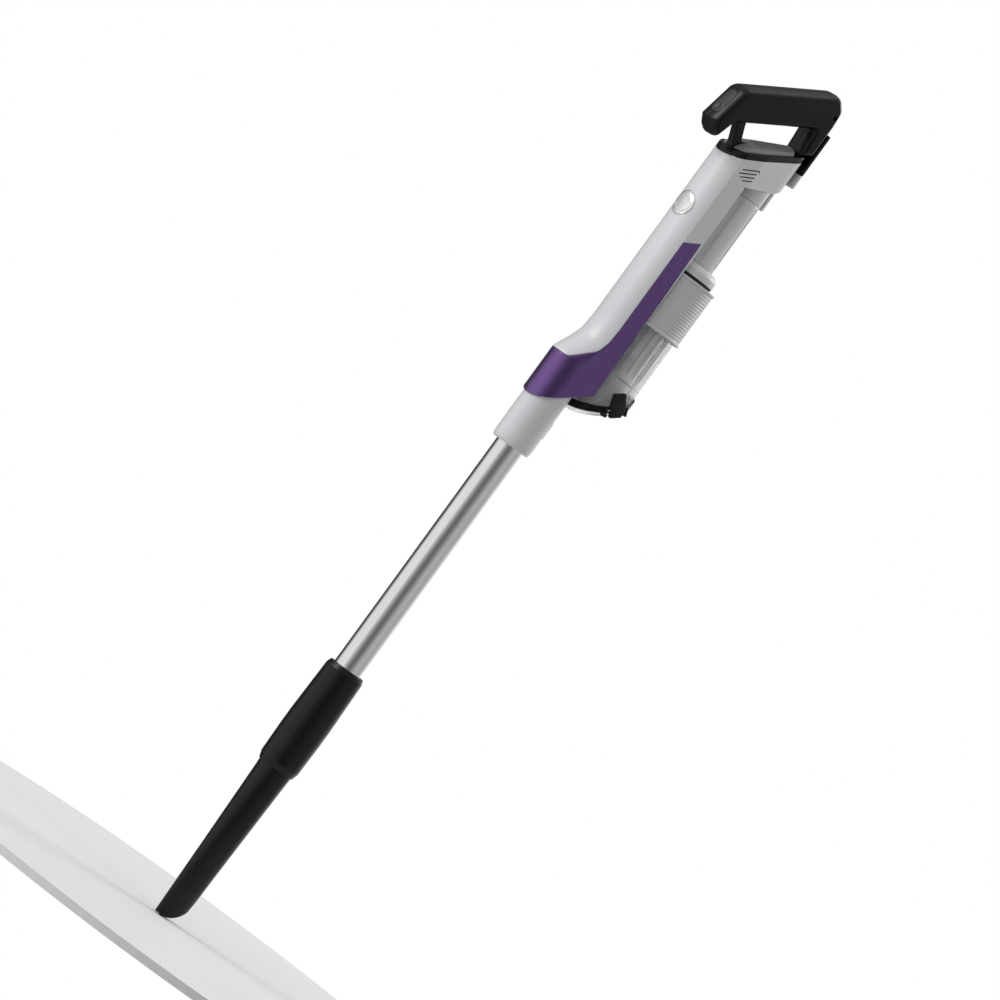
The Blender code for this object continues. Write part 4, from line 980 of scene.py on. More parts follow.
def build_housing():
    """The column above the trim and the head on top of it, as one moulded shell."""
    seam_share = SEAM / (FRONT_ARC_R * math.asin(SIDE_Y / FRONT_ARC_R))
    front = [s for s in ARC_STATIONS if abs(s) < 1 - 2 * seam_share]
    close = [1 - seam_share * k for k in (1.0, 1.25, 1.7, 2.4)]
    front = [-s for s in close] + front + list(reversed(close))
    collar_z = stripe_top(STRIPE_X) + SEAM
    flare_top = 0.8450

    def front_heights(station):
        low = trim_shoulder(station) + SEAM * 1.2
        heights = steps_between(low, flare_top, 22, soft_end=False)[:-1]
        return heights + steps_between(flare_top, collar_z, 12, soft_start=False, soft_end=False)

    def column_heights(station):
        x = column_at(station, 0.9).x
        low = stripe_top(x) + SEAM if abs(station) > 1 else collar_z
        return steps_between(min(low, beside_stripe(x)), under_head(x), 10, soft_end=False)

    skin = Skin()
    skin.grow(front, front_heights)
    stations = LEFT_STATIONS + sorted(set(front + [-1.0, 1.0])) + RIGHT_STATIONS
    skin.grow(stations, column_heights)
    plan = [column_at(station, 0.9)[:2] for station in stations] + head_path()
    head = [[Vector((x, y, z)) for z in steps_between(under_head(x), head_top(x), 8, False)]
            for x, y in plan]
    skin.patch(head + head[:1])

    right_side = [(REAR_X, SIDE_Y)] + [p for p in head_path() if p[1] > 1e-6]
    right_side.append((max(x for x, y in head_path()), 0.0))
    skin.patch([[Vector((x, y * (2 * k / 10 - 1), under_head(x))) for k in range(11)]
                for x, y in right_side])

    def depth(place):
        return SIDE_SKIN if place.z < under_head(REAR_X) - 0.002 and place.x > 0.010 else HEAD_SKIN

    shell = carve(thick_skin(skin.mesh, depth, 0.0006), vent_cutters(), crossing=True)
    whole = joined(shell, housing_lining())
    add_piece("housing_shell", whole, "body_plastic", "body", ["main_housing"], 40)


def build_cradle_panel():
    """The concave back of the body, with two shallow guide ribs that the bin slides along."""
    half_width = 0.0226
    skin = Skin()
    spread = math.asin(half_width / CRADLE_R)
    columns = []
    for i in range(41):
        share = 2 * i / 40 - 1
        angle = spread * share
        lift = 0.0008 * max(0.0, 1 - ((abs(share) - 0.62) / 0.06) ** 2)
        radius = CRADLE_R + 0.0009 - lift
        x, y = BIN_X - radius * math.cos(angle), radius * math.sin(angle)
        low = TRIM_LOW_Z + 0.0095 + LOW_SLOPE * x
        columns.append([Vector((x, y, z)) for z in steps_between(low, PANEL_TOP - 0.0003, 44)])
    skin.patch(columns)
    bmesh.ops.reverse_faces(skin.mesh, faces=skin.mesh.faces[:])     # it faces the bin
    hole = side_tube((0.010, 0.045), 0, INLET_Z, 0.0124, count=64)
    panel = carve(thick_skin(skin.mesh, 0.0012, 0.0005), [hole])
    add_piece("cradle_back", panel, "body_plastic", "body", ["cradle_panel"], 40)


def badge_turned(relief):
    """A (share of the radius, lift) relief turned round and laid on the column's front."""
    rings = []
    for share, lift in relief:
        radius = BADGE_R * share
        spots = [(radius * c, radius * s) for c, s in round_steps(ROUND if share else 1)]
        rings.append([(FRONT_ARC_X - math.sqrt((FRONT_ARC_R + lift) ** 2 - y ** 2), y, BADGE_Z + rise)
                      for y, rise in spots])
    return loft_mesh(rings, closed=relief[0][0] > 0)


def build_badge():
    """A plain badge on the column's front: a bright rim round a dished, plain middle."""
    disc = ((0.0, 0.00062), (0.35, 0.00058), (0.58, 0.00050), (0.66, 0.00075), (0.70, 0.00075),
            (0.76, 0.00042), (0.925, 0.00036), (0.925, 0.00010), (0.5, 0.00010), (0.0, 0.00010))
    rim = ((0.935, 0.00010), (0.935, 0.00085), (0.95, 0.00115), (0.975, 0.00118), (0.995, 0.00090),
           (1.0, 0.00050), (1.0, 0.00010))
    add_piece("badge_disc", badge_turned(disc), "badge", "body", ["front_badge"], 40)
    add_piece("badge_rim", badge_turned(rim), "badge", "body", [], 40, "chrome_tube")


def head_outline(inset=0.0):
    """The head's plan, front, sides and back, moved inwards."""
    radius, half_width = FRONT_ARC_R - inset, SIDE_Y - inset
    spread = math.asin(half_width / radius)
    points = []
    for i in range(37):
        angle = spread * (2 * i / 36 - 1)
        points.append((FRONT_ARC_X - radius * math.cos(angle), radius * math.sin(angle)))
    rear = rear_arc(HEAD_REAR_R - 0.8 * inset, 20)
    knee = (REAR_X, half_width)
    right = []
    for k in range(1, 16):
        share = k / 16
        if share < 0.35:
            right.append(blend((points[-1], knee), (1 - share / 0.35, share / 0.35)))
        else:
            right.append(blend((knee, rear[0]), ((1 - share) / 0.65, (share - 0.35) / 0.65)))
    return points + right + rear + [(x, -y) for x, y in reversed(right)]


def on_top(outline, lift):
    """A plan laid on the head's slanted top."""
    return [(x, y, RING_Z + lift + TOP_SLOPE * x) for x, y in outline]


def build_top_ring():
    """The black ring round the exhaust, with the tab that the front strut stands on."""
    section = soften([(0.0, 0.0), (0.0, RING_H), (RING_W, RING_H), (RING_W, 0.0)],
                     (0.0005, 0.0018, 0.0009, 0.0003), 6)
    ring = loft_mesh([on_top(head_outline(inset), lift) for inset, lift in section], closed=True)
    low, high = 0.0006, RING_H - 0.0002
    tab = pillow(rectangle(0.0090, 0.0078), low, high, 0.0010, 0.0020, 4, 0.0002)
    tab = moved(tab, placing(0.0065, 0, RING_Z + TOP_SLOPE * 0.0065, -TOP_TILT))
    add_piece("exhaust_ring", carve(ring, [tab], "UNION"), "black_plastic", "body", ["top_ring"], 40)


def build_grille():
    """A smoked dome over the exhaust, with a fan of long slots."""
    edge = RING_W + 0.0003
    outer = soften([(edge, 0.0010), (edge, 0.0090), (0.0080, 0.0125), (0.0130, 0.0146),
                    (0.0190, 0.0154)], (0, 0.002, 0.004, 0.004, 0), 4, closed=False)
    inner = [(0.0190, 0.0138), (0.0140, 0.0130), (0.0095, 0.0112), (0.0070, 0.0085), (0.0070, 0.0010)]
    shell = bmesh.new()
    rows = [[shell.verts.new(p) for p in on_top(head_outline(inset), lift)]
            for inset, lift in outer + inner]
    for i, (row_a, row_b) in enumerate(zip(rows, rows[1:])):
        if i != len(outer) - 1:
            bridge(shell, row_a, row_b)
    bridge(shell, rows[-1], rows[0])
    shell.faces.new(rows[len(outer) - 1])
    shell.faces.new(rows[len(outer)])
    cutters = [plate(box_outline((-0.010, 0.0158), (-0.0085, 0.0085)), (1.050, 1.110)),
               plate(box_outline((0.0742, 0.110), (-0.030, 0.030)), (1.050, 1.200))]
    for i in range(-5, 6):
        reach = 0.0250 - 0.0014 * abs(i)
        slot = soften(rectangle(reach, 0.00062), 0.0006, 4)
        slot = [(x + 0.047, y + 0.0024 * i) for x, y in slot]
        cutters.append(plate(slot, (1.060, 1.140)))
    add_piece("grille_dome", carve(shell, cutters), "grille_plastic", "body", ["exhaust_grille"], 35)


# ---------------------------------------------------------------- handle
def ring_top(x):
    """Height of the top ring's upper face."""
    return RING_Z + RING_H + TOP_SLOPE * x


def handle_corners():
    """The handle's side view: grip, rear post and nose, with the radius of each corner."""
    foot = 0.0005
    return [(SHOULDER, 0.0160), ((0.0820, GRIP_HIGH_Z + 0.0820 * GRIP_SLOPE), 0.0120),
            ((0.0970, 1.1910), 0.0150), ((BACK_X, 1.1700), 0.0200),
            ((BACK_X, ring_top(BACK_X) + foot), 0.0012),
            ((POST_FOOT_X, ring_top(POST_FOOT_X) + foot), 0.0012),
            ((POST_X, GRIP_LOW_Z + GRIP_SLOPE * POST_X), 0.0030),
            ((-0.0218, GRIP_LOW_Z - 0.0218 * GRIP_SLOPE), 0.0090),
            ((-0.0318, 1.0742), 0.0060), ((-0.0420, 1.0808), 0.0080), (NOSE_TIP, 0.0025)]


def is_hollow_corner(outline, i):
    before, here, after = outline[i - 1], outline[i], outline[(i + 1) % len(outline)]
    cross = ((here[0] - before[0]) * (after[1] - here[1]) -
             (here[1] - before[1]) * (after[0] - here[0]))
    return cross > 0


def handle_section(y_inset):
    """The side view moved inwards, with its corners' radii kept concentric."""
    outline, radii = zip(*handle_corners())
    radii = [max(0.0002, radius + (y_inset if is_hollow_corner(outline, i) else -y_inset))
             for i, radius in enumerate(radii)]
    return soften(inset_outline(outline, y_inset) if y_inset else outline, radii, 8)


def grip_levels():
    """The grip's rounding: distance from the middle plane, and how far the outline moves in."""
    across, up = GRIP_ROUND
    return [(GRIP_HALF_W - across * (1 - s), up * (1 - c)) for c, s in quarter_steps(12)]


def display_frame():
    """The plane of the nose's slanted face: X runs up along it and Z points out of it."""
    (x0, z0), (x1, z1) = SHOULDER, NOSE_TIP
    tilt = math.atan2(x0 - x1, z0 - z1) - math.pi / 2
    return placing((x0 + x1) / 2, 0, (z0 + z1) / 2, tilt)


def key_hole(reach_in, reach_out):
    """What is cut away for the round key, on the nose's face."""
    profile = [(0.0, -reach_in), (KEY_HOLE_R, -reach_in), (KEY_HOLE_R, reach_out), (0.0, reach_out)]
    return shifted(turned(profile, count=48), KEY_SHIFT)


def screw_ring(radius, y):
    """A ring round the handle screw's axis."""
    x, z = SCREW_AT
    return [(x + radius * c, y, z + radius * s) for c, s in round_steps(48)]


def build_handle():
    """Two moulded halves that meet on the middle plane in a fine groove."""
    face = display_frame()
    levels = [(0.00005, 0.00040), (0.00030, 0.00008), (0.00060, 0.0)] + grip_levels()
    for side, name in ((-1, "left"), (1, "right")):
        half = loft_mesh([[(x, side * y, z) for x, z in handle_section(inset)] for y, inset in levels])
        seat = rectangle(LENS_HALF[0] + 0.0003, LENS_HALF[1] + 0.0003)
        seat = shifted(pillow(seat, -0.0014, 0.0060, 0.0002, LENS_HALF[1], 3, 0.0002), LENS_SHIFT)
        cutters = [moved(seat, face), moved(key_hole(0.0070, 0.0060), face)]
        if side < 0:
            wells = ((0.0026, 0.0031), (0.0026, 0.0006), (0.0046, 0.0005), (0.0052, -0.0002))
            cutters.append(loft_mesh([screw_ring(r, depth - GRIP_HALF_W) for r, depth in wells]))
        add_piece(f"handle_shell_{name}", carve(half, cutters), "black_plastic", "body",
                  [f"handle_{name}"], 35)
    build_display(face)
    build_screw()
    strut = []
    for height, grow in ((-0.0010, 0.0016), (0.0008, 0.0012), (0.0030, 0.0003), (0.0080, 0.0),
                         (0.0260, 0.0), (0.0290, 0.0003), (0.0302, 0.0006)):
        strut.append([(x, y, height) for x, y in
                      soften(rectangle(0.0062 + grow, 0.0058 + grow), 0.0022, 6)])
    place = placing(FRONT_STRUT_X, 0, ring_top(FRONT_STRUT_X), -math.atan(GRIP_SLOPE))
    add_piece("strut_post", moved(loft_mesh(strut), place), "black_plastic", "body", ["front_strut"])


def build_display(face):
    """A smoked window with a soft edge, and the round key that comes through it."""
    window = pillow(rectangle(*LENS_HALF), -0.0012, 0.0001, 0.0005, LENS_HALF[1] - 0.0003, 4, 0.0001)
    window = moved(carve(shifted(window, LENS_SHIFT), [key_hole(0.004, 0.004)]), face)
    add_piece("display_window", window, "display_lens", "body", ["display_lens"])
    profile = soften([(0.0, -0.0045), (0.0040, -0.0045), (0.0040, 0.0008), (0.0030, 0.0006),
                      (0.0, 0.0003)], (0, 0.0003, 0.0005, 0.002, 0), 5, closed=False)
    key = shifted(turned(profile, count=48), KEY_SHIFT)
    add_piece("mode_key_cap", moved(key, face), "button_plastic", "mode_key", ["mode_button"])


def build_screw():
    """A countersunk screw with a cross recess, deep in the handle's left side."""
    head_y, step_y, end_y = 0.0033 - GRIP_HALF_W, 0.0052 - GRIP_HALF_W, 0.0095
    stations = ((0.0018, head_y), (0.0023, head_y + 0.0003), (0.0023, step_y), (0.0012, step_y),
                (0.0012, end_y), (0.0004, end_y + 0.0006))
    screw = loft_mesh([screw_ring(r, y) for r, y in stations])
    x, z = SCREW_AT
    cross = []
    for wide, high in ((0.0014, 0.00035), (0.00035, 0.0014)):
        bar = [(x + dx, z + dz) for dx, dz in rectangle(wide, high)]
        cross.append(prism(bar, (head_y - 0.0013, head_y + 0.0009)))
    add_piece("handle_screw_head", carve(screw, cross), "steel", "body", ["handle_screw"])


def build_dock():
    """The spine that slides into a wall dock, and its lighter tip with two charging contacts."""
    (x0, x1), (low, middle, high) = DOCK_X, DOCK_Z

    def slab(bottom, top, inset):
        outline = rectangle((top - bottom) / 2, DOCK_HALF_W - inset)
        block = pillow(outline, inset, x1 - x0 - inset, 0.0010, 0.0016, 4, 0.0005)
        return facing_back(block, x0, 0, (bottom + top) / 2)

    spine_z, tip_z = (middle + high) / 2, (low + middle) / 2
    grooves = [facing_back(plate(soften(rectangle(0.0230, 0.0009), 0.0008, 4), (0.0, 0.003)),
                           x1 - 0.0006, y, spine_z) for y in (-0.0085, 0.0085)]
    spine = carve(slab(middle + 0.0003, high, 0.0), grooves)
    add_piece("dock_spine", spine, "black_plastic", "body", ["dock_tongue"])
    windows = [facing_back(plate(rectangle(0.0045, 0.0016), (-0.0012, 0.0012)),
                           x1 - 0.0008, y, tip_z) for y in (-0.0050, 0.0050)]
    tip = carve(slab(low, middle, 0.0002), windows)
    add_piece("dock_tip", tip, "body_plastic", "body", ["contact_block"])
    contacts = [facing_back(pillow(rectangle(0.0042, 0.0014), 0.0, 0.0009, 0.0003, 0.0006, 4),
                            x1 - 0.0016, y, tip_z) for y in (-0.0050, 0.0050)]
    add_piece("dock_contacts", joined(*contacts), "steel", "body", [])


# ---------------------------------------------------------------- bin, cyclone and air column
def rubber_ring(name, radii, heights, rounding, body, node, share=0):
    """A soft ring of square section round the bin's axis. Share 1 slants it like the lid."""
    section = [(r, z, share) for r, z in box_outline(radii, heights)]
    ring = turned(soften(section, rounding), BIN_X, slope=LID_SLOPE)
    add_piece(name, ring, "rubber", body, [node])


def build_air_column():
    """The fluted column that carries clean air up to the head."""
    low, high = COLUMN_LOW, COLUMN_TOP
    heights = [low, low + 0.0004] + [low + 0.003 + (high - low - 0.006) * k / 24 for k in range(25)]
    heights += [high - 0.0004, high]
    facets = 144
    rings = []
    for z in heights:
        ends = min((z - low) / 0.006, (high - z) / 0.006, 1.0)
        ends = ends * ends * (3 - 2 * ends)
        ring = []
        for i in range(facets):
            angle = 2 * math.pi * i / facets
            flute = 0.0
            for middle in (135, -135, 60, -60, 0):
                away = abs((math.degrees(angle) - middle + 180) % 360 - 180)
                width = 11.0 if abs(middle) == 135 else 5.0
                flute = max(flute, math.cos(min(1.0, away / width) * math.pi / 2) ** 0.7)
            radius = COLUMN_R - 0.0016 * flute * ends - (0.0003 if z in (low, high) else 0.0)
            ring.append((BIN_X + radius * math.cos(angle), radius * math.sin(angle), z))
        rings.append(ring)
    rings += [circle(BIN_X, COLUMN_BORE_R, z, count=facets) for z in (high, low)]
    add_piece("clean_air_column", loft_mesh(rings, closed=True), "grey_plastic", "bin",
              ["air_column"], 50, "column")


def build_cap():
    """The flanged cap that closes the bin, and the seal under it."""
    low, high = CAP_LOW, CAP_TOP
    cap = soften([(0.0130, low), (0.0308, low), (0.0308, low - 0.0022), (0.0316, low - 0.0022),
                  (0.0316, low + 0.0060), (0.0280, low + 0.0105), (0.0215, high), (0.0130, high)],
                 (0.0003, 0, 0, 0.0003, 0.0060, 0.0080, 0.0010, 0.0003), 8)
    add_piece("cyclone_cap", turned(cap, BIN_X), "grey_plastic", "bin", ["separator_cap"], 40, "column")
    rubber_ring("cap_gasket", (0.0262, 0.0306), (BIN_TOP + GAP, low - 0.0003), 0.0012, "bin",
                "cap_seal")


def build_shroud():
    """The perforated drum inside the bin, its upright ribs and the slanted skirt below it."""
    foot, top = SHROUD_LOW_Z, BIN_TOP - 0.001
    profile = [(0.0, foot), (0.0200, foot), (0.0262, foot + 0.0015), (0.0268, foot + 0.0095)]
    profile += [(SHROUD_WAIST_R, foot + 0.0120 + (top - foot - 0.026) * k / 30) for k in range(31)]
    profile += [(SHROUD_R, top - 0.0115), (SHROUD_R, top), (0.0240, top), (0.0240, foot + 0.0120),
                (0.0195, foot + 0.002), (0.0, foot + 0.002)]
    shroud = turned(profile, BIN_X)
    add_piece("shroud_screen", shroud, "dark_plastic", "bin", ["separator_shroud"], 30, "screen")
    ribs = []
    for i in range(SHROUD_RIBS):
        rib = pillow(rectangle(0.0009, 0.0007), foot + 0.0090, top - 0.0100, 0.0002, 0.0004, 2)
        turn = 2 * math.pi * (i + 0.5) / SHROUD_RIBS
        ribs.append(moved(shifted(rib, SHROUD_WAIST_R + 0.0002), placing(BIN_X, 0, 0, turn, "Z")))
    add_piece("shroud_ribs", joined(*ribs), "grey_plastic", "bin", [])
    high, low = foot - 0.0003, LID_Z + LID_H + 0.0020
    skirt = [(0.0262, high, 0), (0.0256, high - 0.0040, 0.1), (0.0232, low, 1), (0.0220, low, 1),
             (0.0244, high - 0.0040, 0.1), (0.0250, high, 0)]
    # The skirt takes the lighter copy of the grey plastic: painted light in the shade inside the bin.
    add_piece("shroud_skirt", turned(skirt, BIN_X, slope=LID_SLOPE), "grey_plastic", "bin", [], 40,
              "column")


def lid_frame():
    """The plane of the lid's upper face: X runs up its slope."""
    return placing(BIN_X, 0, LID_Z + LID_H + 0.0002, -LID_TILT)


def hinge_eye(span, arm_y, arm_heights):
    """A hinge eye between two places along the pin, and the arm that carries it."""
    eye = side_tube(span, HINGE_Y, 0, HINGE_R, HINGE_BORE_R)
    arm = plate(box_outline(span, (arm_y, HINGE_Y - 0.0014)), arm_heights)
    return moved(eye, lid_frame()), moved(arm, lid_frame())


def build_bin():
    """The clear cylinder with its dark base rim, hinge eyes, pin and inlet spout."""
    low = LID_Z + LID_H + GAP
    levels = ((low, 1), (0.800, 0), (0.870, 0), (BIN_TOP, 0))
    profile = [(BIN_R, z, share) for z, share in levels]
    profile += [(BIN_R - BIN_WALL, z, share) for z, share in reversed(levels)]
    wall = turned(soften(profile, (0.0003, 0, 0, 0.0005, 0.0005, 0, 0, 0.0003), 3), BIN_X,
                  slope=LID_SLOPE, count=128)
    port = side_tube((0.0250, 0.0400), 0, INLET_Z, 0.0101, count=48)
    add_piece("bin_cylinder", carve(wall, [port]), "clear_plastic", "bin", ["bin_wall"], 40)

    bore = BIN_R + 0.0003
    rim = soften([(LID_R, low, 1), (LID_R, low + RIM_H, 1), (bore, low + RIM_H, 1), (bore, low, 1)],
                 (0.0005, 0.0012, 0.0002, 0.0002), 5)
    parts = [turned(rim, BIN_X, slope=LID_SLOPE)]
    for span in ((-0.0110, -0.0054), (0.0054, 0.0110)):
        parts += hinge_eye(span, 0.0340, (0.0006, 0.0022))
    add_piece("bin_base_rim", joined(*parts), "black_plastic", "bin", ["bin_rim"])
    pin = moved(side_tube((-0.0120, 0.0120), HINGE_Y, 0, PIN_R), lid_frame())
    add_piece("hinge_pin", pin, "steel", "bin", ["lid_hinge_pin"])
    spout = side_tube((0.0254, 0.0310), 0, INLET_Z, 0.0115, 0.0098, 64)
    add_piece("bin_spout", spout, "clear_plastic", "bin", ["bin_inlet_spout"])


def build_lid():
    """The sloping clear lid with its stiffening rings, knuckle and latch ears."""
    top = LID_Z + LID_H
    disc = [(0.0, LID_Z + 0.0006, 1), (0.0120, LID_Z + 0.0006, 1), (0.0130, LID_Z, 1),
            (0.0150, LID_Z, 1), (0.0160, LID_Z + 0.0006, 1), (0.0240, LID_Z + 0.0006, 1),
            (0.0250, LID_Z, 1), (0.0335, LID_Z, 1), (LID_R, LID_Z + 0.0014, 1),
            (LID_R, top, 1), (0.0270, top, 1), (0.0262, top - 0.0022, 1), (0.0, top - 0.0022, 1)]
    disc = soften(disc, (0, 0.0004, 0.0004, 0.0004, 0.0004, 0.0004, 0.0004, 0.002, 0.0012, 0.0004,
                         0.0004, 0.001, 0), 4, closed=False)
    whole = joined(turned(disc, BIN_X, slope=LID_SLOPE),
                   *hinge_eye((-0.0050, 0.0050), 0.0330, (-0.0036, -0.0006)))
    add_piece("lid_disc", whole, "clear_plastic", "lid", ["bin_lid"])
    ears = []
    for low_x, high_x in ((-0.0130, -0.0104), (0.0144, 0.0170)):
        outline = soften([(-0.0030, -0.0398), (0.0080, -0.0406), (0.0080, -0.0370), (-0.0006, -0.0370),
                          (-0.0006, -0.0300), (-0.0030, -0.0300)],
                         (0.0006, 0.0018, 0.0012, 0.0006, 0.0003, 0.0003), 4)
        ear = loft_mesh([[(x, y, z) for z, y in outline] for x in (low_x, high_x)])
        ears.append(moved(ear, lid_frame()))
    add_piece("latch_ears", joined(*ears), "black_plastic", "lid", [])
    low = top + GAP
    rubber_ring("lid_seal", (0.0275, 0.0308), (low, low + 0.0030), 0.0010, "lid", "lid_gasket", 1)
    pin = moved(side_tube((-0.0128, 0.0168), *LATCH_PIVOT, PIN_R), lid_frame())
    add_piece("latch_axle", pin, "steel", "lid", ["latch_pin"])


def build_latch():
    """The rocking latch on the bin's near side: a ribbed block with a finger tab."""
    outline = soften([(-0.0062, -0.0040), (0.0090, -0.0040), (0.0136, 0.0030), (0.0136, 0.0140),
                      (0.0120, 0.0190), (0.0120, 0.0250), (-0.0050, 0.0250), (-0.0068, 0.0130)],
                     (0.0016, 0.0020, 0.0020, 0.0020, 0.0020, 0.0025, 0.0025, 0.0030), 5)
    rings = []
    for y, inset in ((-0.0370, 0.0003), (-0.0373, 0.0), (-0.0400, 0.0), (-0.0404, 0.0002),
                     (-0.0406, 0.0006)):
        rings.append([(x, y, z) for x, z in inset_outline(outline, inset)])
    block = loft_mesh(rings)
    ridges = []
    for k in range(4):
        ridge = pillow(rectangle(0.0056, 0.0003), 0.0, 0.0006, 0.0002, 0.0002, 2)
        place = placing(0.0030, -0.0404, 0.0170 + 0.0018 * k, math.pi / 2, "X")
        ridges.append(moved(ridge, place))
    whole = moved(joined(block, *ridges), lid_frame())
    add_piece("latch_block", whole, "black_plastic", "latch", ["lid_latch"], 40)


def build_collar():
    """The push-down collar: an open sleeve with fine ribs and a lip at each end."""
    low, high = COLLAR_LOW, COLLAR_TOP
    bore = BIN_R + 0.0005
    profile = [(bore, low + 0.0003), (bore + 0.0003, low), (COLLAR_LIP_R - 0.0005, low),
               (COLLAR_LIP_R, low + 0.0005), (COLLAR_LIP_R, low + 0.0022), (COLLAR_R, low + 0.0032)]
    span = high - low - 0.0064
    for k in range(COLLAR_RIBS * 8 + 1):
        share = k / (COLLAR_RIBS * 8)
        wave = 0.5 - 0.5 * math.cos(2 * math.pi * COLLAR_RIBS * share)
        profile.append((COLLAR_R - 0.00055 * wave ** 2, low + 0.0032 + span * share))
    profile += [(COLLAR_LIP_R, high - 0.0022), (COLLAR_LIP_R, high - 0.0005),
                (COLLAR_LIP_R - 0.0005, high), (bore + 0.0003, high), (bore, high - 0.0003)]
    reach = math.pi - math.radians(COLLAR_OPEN_DEG)
    rings = []
    for i in range(121):
        angle = -reach + 2 * reach * i / 120
        rings.append([(BIN_X + r * math.cos(angle), r * math.sin(angle), z) for r, z in profile])
    add_piece("collar_sleeve", loft_mesh(rings), "grey_plastic", "compactor", ["compactor_collar"], 50)
    scraper = soften([(SHROUD_R + 0.0005, 0.9160), (0.0308, 0.9160), (0.0308, 0.9220),
                      (SHROUD_R + 0.0005, 0.9220)], 0.0010, 3)
    add_piece("scraper_ring", turned(scraper, BIN_X), "rubber", "compactor", ["compactor_scraper"])


def build_duct_neck():
    """The neck between the air column and the head, and the catch that holds the bin to it."""
    top = under_head(BIN_X) - GAP
    bottom = COLUMN_TOP + GAP
    profile = soften([(COLUMN_R, bottom, 0), (COLUMN_R, top, 1), (0.0130, top, 1),
                      (0.0130, bottom, 0)], (0.0005, 0, 0, 0), 3)
    add_piece("duct_collar", turned(profile, BIN_X, slope=HEAD_UNDER_SLOPE),
              "body_plastic", "body", ["duct_neck"])
    catch = pillow(rectangle(0.0125, 0.0080), 0.0, 0.0040, 0.0011, 0.0020, 4, 0.0005)
    ridges = [shifted(pillow(rectangle(0.0004, 0.0055), 0.0034, 0.0041, 0.0003, 0.0003, 2), 0.0022 * k)
              for k in range(-2, 3)]
    catch = facing_back(joined(catch, *ridges), *CATCH_AT)
    add_piece("bin_catch_pad", catch, "body_plastic", "bin_catch", ["bin_release_catch"])


# ---------------------------------------------------------------- studio
VIEW_TURN = -39.0                 # the camera's turn round the vacuum, in degrees from +Y
ROLL = 36.03                      # the camera's roll: the vacuum leans to the right in the picture
DISTANCE = 6.0
VIEW_WIDTH = 1.13
AIM_Z = 0.604
AIM_RIGHT = 0.0271

# What a mirror round the vacuum sees: degrees to the right of the camera, and brightness.
PANORAMA = ((-180, 0.15), (-150, 0.05), (-129, 0.06), (-114, 0.36), (-90, 1.25), (-71, 2.40),
            (-54, 1.60), (-38, 0.86), (-22, 0.46), (-7, 0.24), (7, 0.15), (22, 0.21), (38, 0.40),
            (54, 0.57), (71, 0.56), (90, 0.46), (114, 0.55), (129, 0.80), (150, 1.15), (180, 1.4))
ABOVE = 0.70
BELOW = 0.30


def view_axes():
    """Level directions in the frame: to the picture's right, and back to the camera."""
    turn = math.radians(VIEW_TURN)
    right = Vector((math.cos(turn), math.sin(turn), 0))
    back = Vector((math.sin(turn), -math.cos(turn), 0))
    return right, back


def build_camera():
    """A far camera with a long lens, which leaves the picture with little perspective."""
    right, back = view_axes()
    up = Vector((0, 0, 1))
    roll = math.radians(ROLL)
    camera_right = right * math.cos(roll) + up * math.sin(roll)
    camera_up = up * math.cos(roll) - right * math.sin(roll)
    place = Vector((AXIS_X, 0, AIM_Z)) + right * AIM_RIGHT + back * DISTANCE
    camera = bpy.data.cameras.new("camera")
    camera.sensor_width = 36.0
    camera.lens = 36.0 * DISTANCE / VIEW_WIDTH
    camera.clip_end = 50.0
    holder = bpy.data.objects.new("camera", camera)
    matrix = Matrix((camera_right, camera_up, back)).transposed().to_4x4()
    matrix.translation = place
    holder.matrix_world = matrix
    bpy.context.scene.collection.objects.link(holder)
    bpy.context.scene.camera = holder


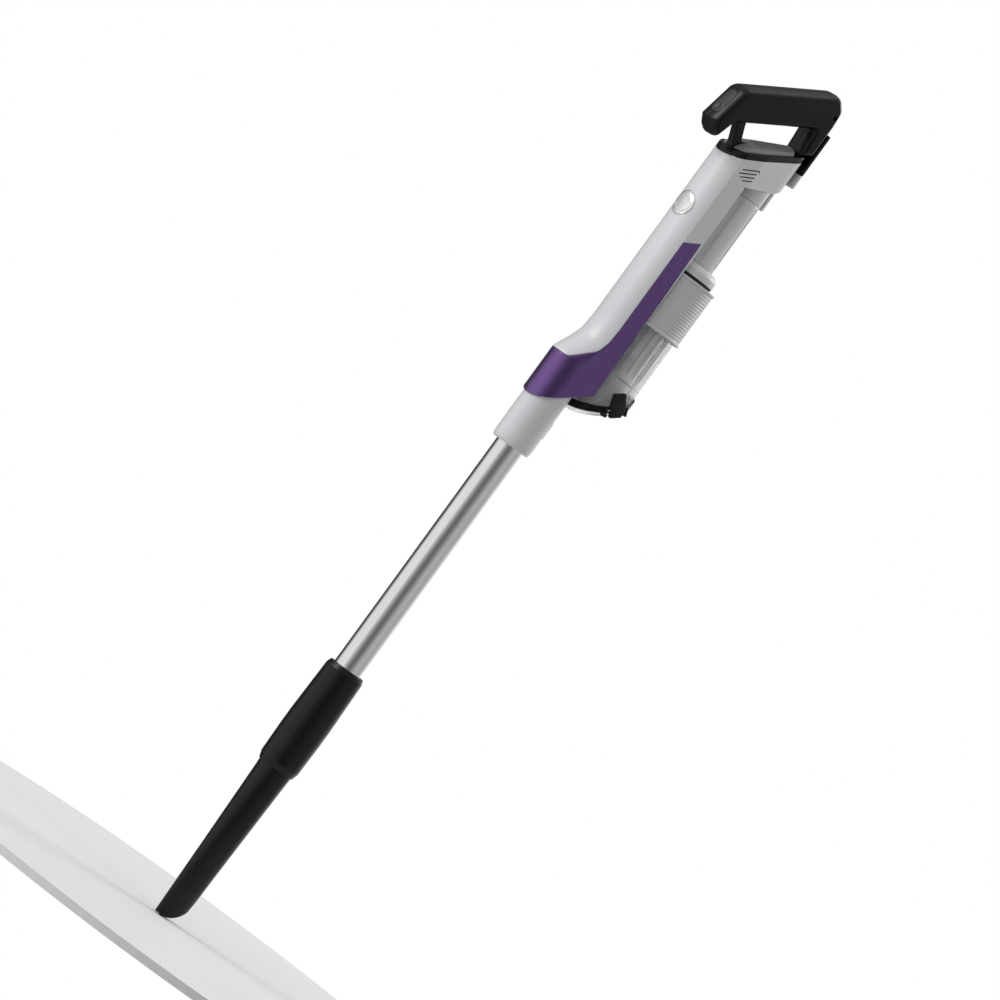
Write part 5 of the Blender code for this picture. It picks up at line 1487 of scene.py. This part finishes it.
def build_world():
    """A studio of soft panels on a white cove: bright left, dim front, mid right, white behind."""
    world = bpy.data.worlds.new("studio")
    bpy.context.scene.world = world
    nodes = Nodes(world)

    def along(axis):
        return nodes.add("ShaderNodeVectorMath", {0: nodes.ways["Generated"], 1: axis},
                         operation="DOT_PRODUCT").outputs["Value"]

    right, back = view_axes()
    angle = nodes.math("ARCTAN2", along(right), along(back))
    ramp = nodes.add("ShaderNodeValToRGB", {"Fac": nodes.spread(angle, 0.0, 1.0, (-math.pi, math.pi))})
    ramp.color_ramp.interpolation = "B_SPLINE"
    stops = ramp.color_ramp.elements
    while len(stops) > 1:
        stops.remove(stops[-1])
    for i, (degrees, light) in enumerate(PANORAMA):
        position = (degrees + 180) / 360
        stop = stops[0] if i == 0 else stops.new(position)
        stop.position = position
        stop.color = (light, light, light, 1)

    height = along((0, 0, 1))
    colour = ramp.outputs["Color"]
    for reach, light in (((0.35, 0.95), ABOVE), ((-0.35, -0.95), BELOW)):
        share = nodes.spread(height, 0.0, 1.0, reach, interpolation_type="SMOOTHSTEP")
        colour = nodes.mix(share, colour, (light, light, light, 1))
    seen = nodes.add("ShaderNodeLightPath").outputs["Is Camera Ray"]
    nodes.put(nodes.tree.nodes["Background"].inputs["Color"], nodes.mix(seen, colour, (1, 1, 1, 1)))


def build_lights():
    """A big soft key from the upper left, a weak one above and a rim light from behind right."""
    right, back = view_axes()
    middle = Vector((AXIS_X, 0, 0.65))
    for name, offset, size, power in (
            ("key", right * -2.3 + back * 0.9 + Vector((0, 0, 1.2)), 1.4, 27.0),
            ("top", back * -0.4 + Vector((0, 0, 2.4)), 1.2, 3.0),
            ("rim", right * 1.8 + back * -1.2 + Vector((0, 0, 1.4)), 1.2, 21.0)):
        light = bpy.data.lights.new(name, "AREA")
        light.shape = "DISK"
        light.size = size
        light.energy = power
        holder = bpy.data.objects.new(name, light)
        holder.location = middle + offset
        holder.rotation_euler = offset.to_track_quat("Z", "Y").to_euler()
        bpy.context.scene.collection.objects.link(holder)


def build_floor():
    """A pale disc just under the tool's tip."""
    nodes = new_material("studio_floor")
    fleck = nodes.spread(nodes.noise(3.0, 3.0), 0.0, 1.0)
    nodes.surface(nodes.mix(fleck, (0.74, 0.74, 0.74, 1), (0.79, 0.79, 0.79, 1)), 0.9, ())
    disc = turned([(0.0, -0.0100), (0.45, -0.0100), (0.45, -0.0004), (0.0, -0.0004)], count=128)
    floor = to_object("floor", disc)
    floor.data.materials.append(nodes.owner)


# ---------------------------------------------------------------- the whole scene
paint_frame()
for build in (build_crevice_tool, build_wand, build_wand_socket, build_side_trim, build_housing,
              build_cradle_panel, build_badge, build_top_ring, build_grille, build_handle, build_dock,
              build_air_column, build_cap, build_shroud, build_bin, build_lid, build_latch, build_collar,
              build_duct_neck, build_world, build_lights, build_floor, build_camera):
    build()
bpy.context.scene.view_settings.view_transform = "Standard"
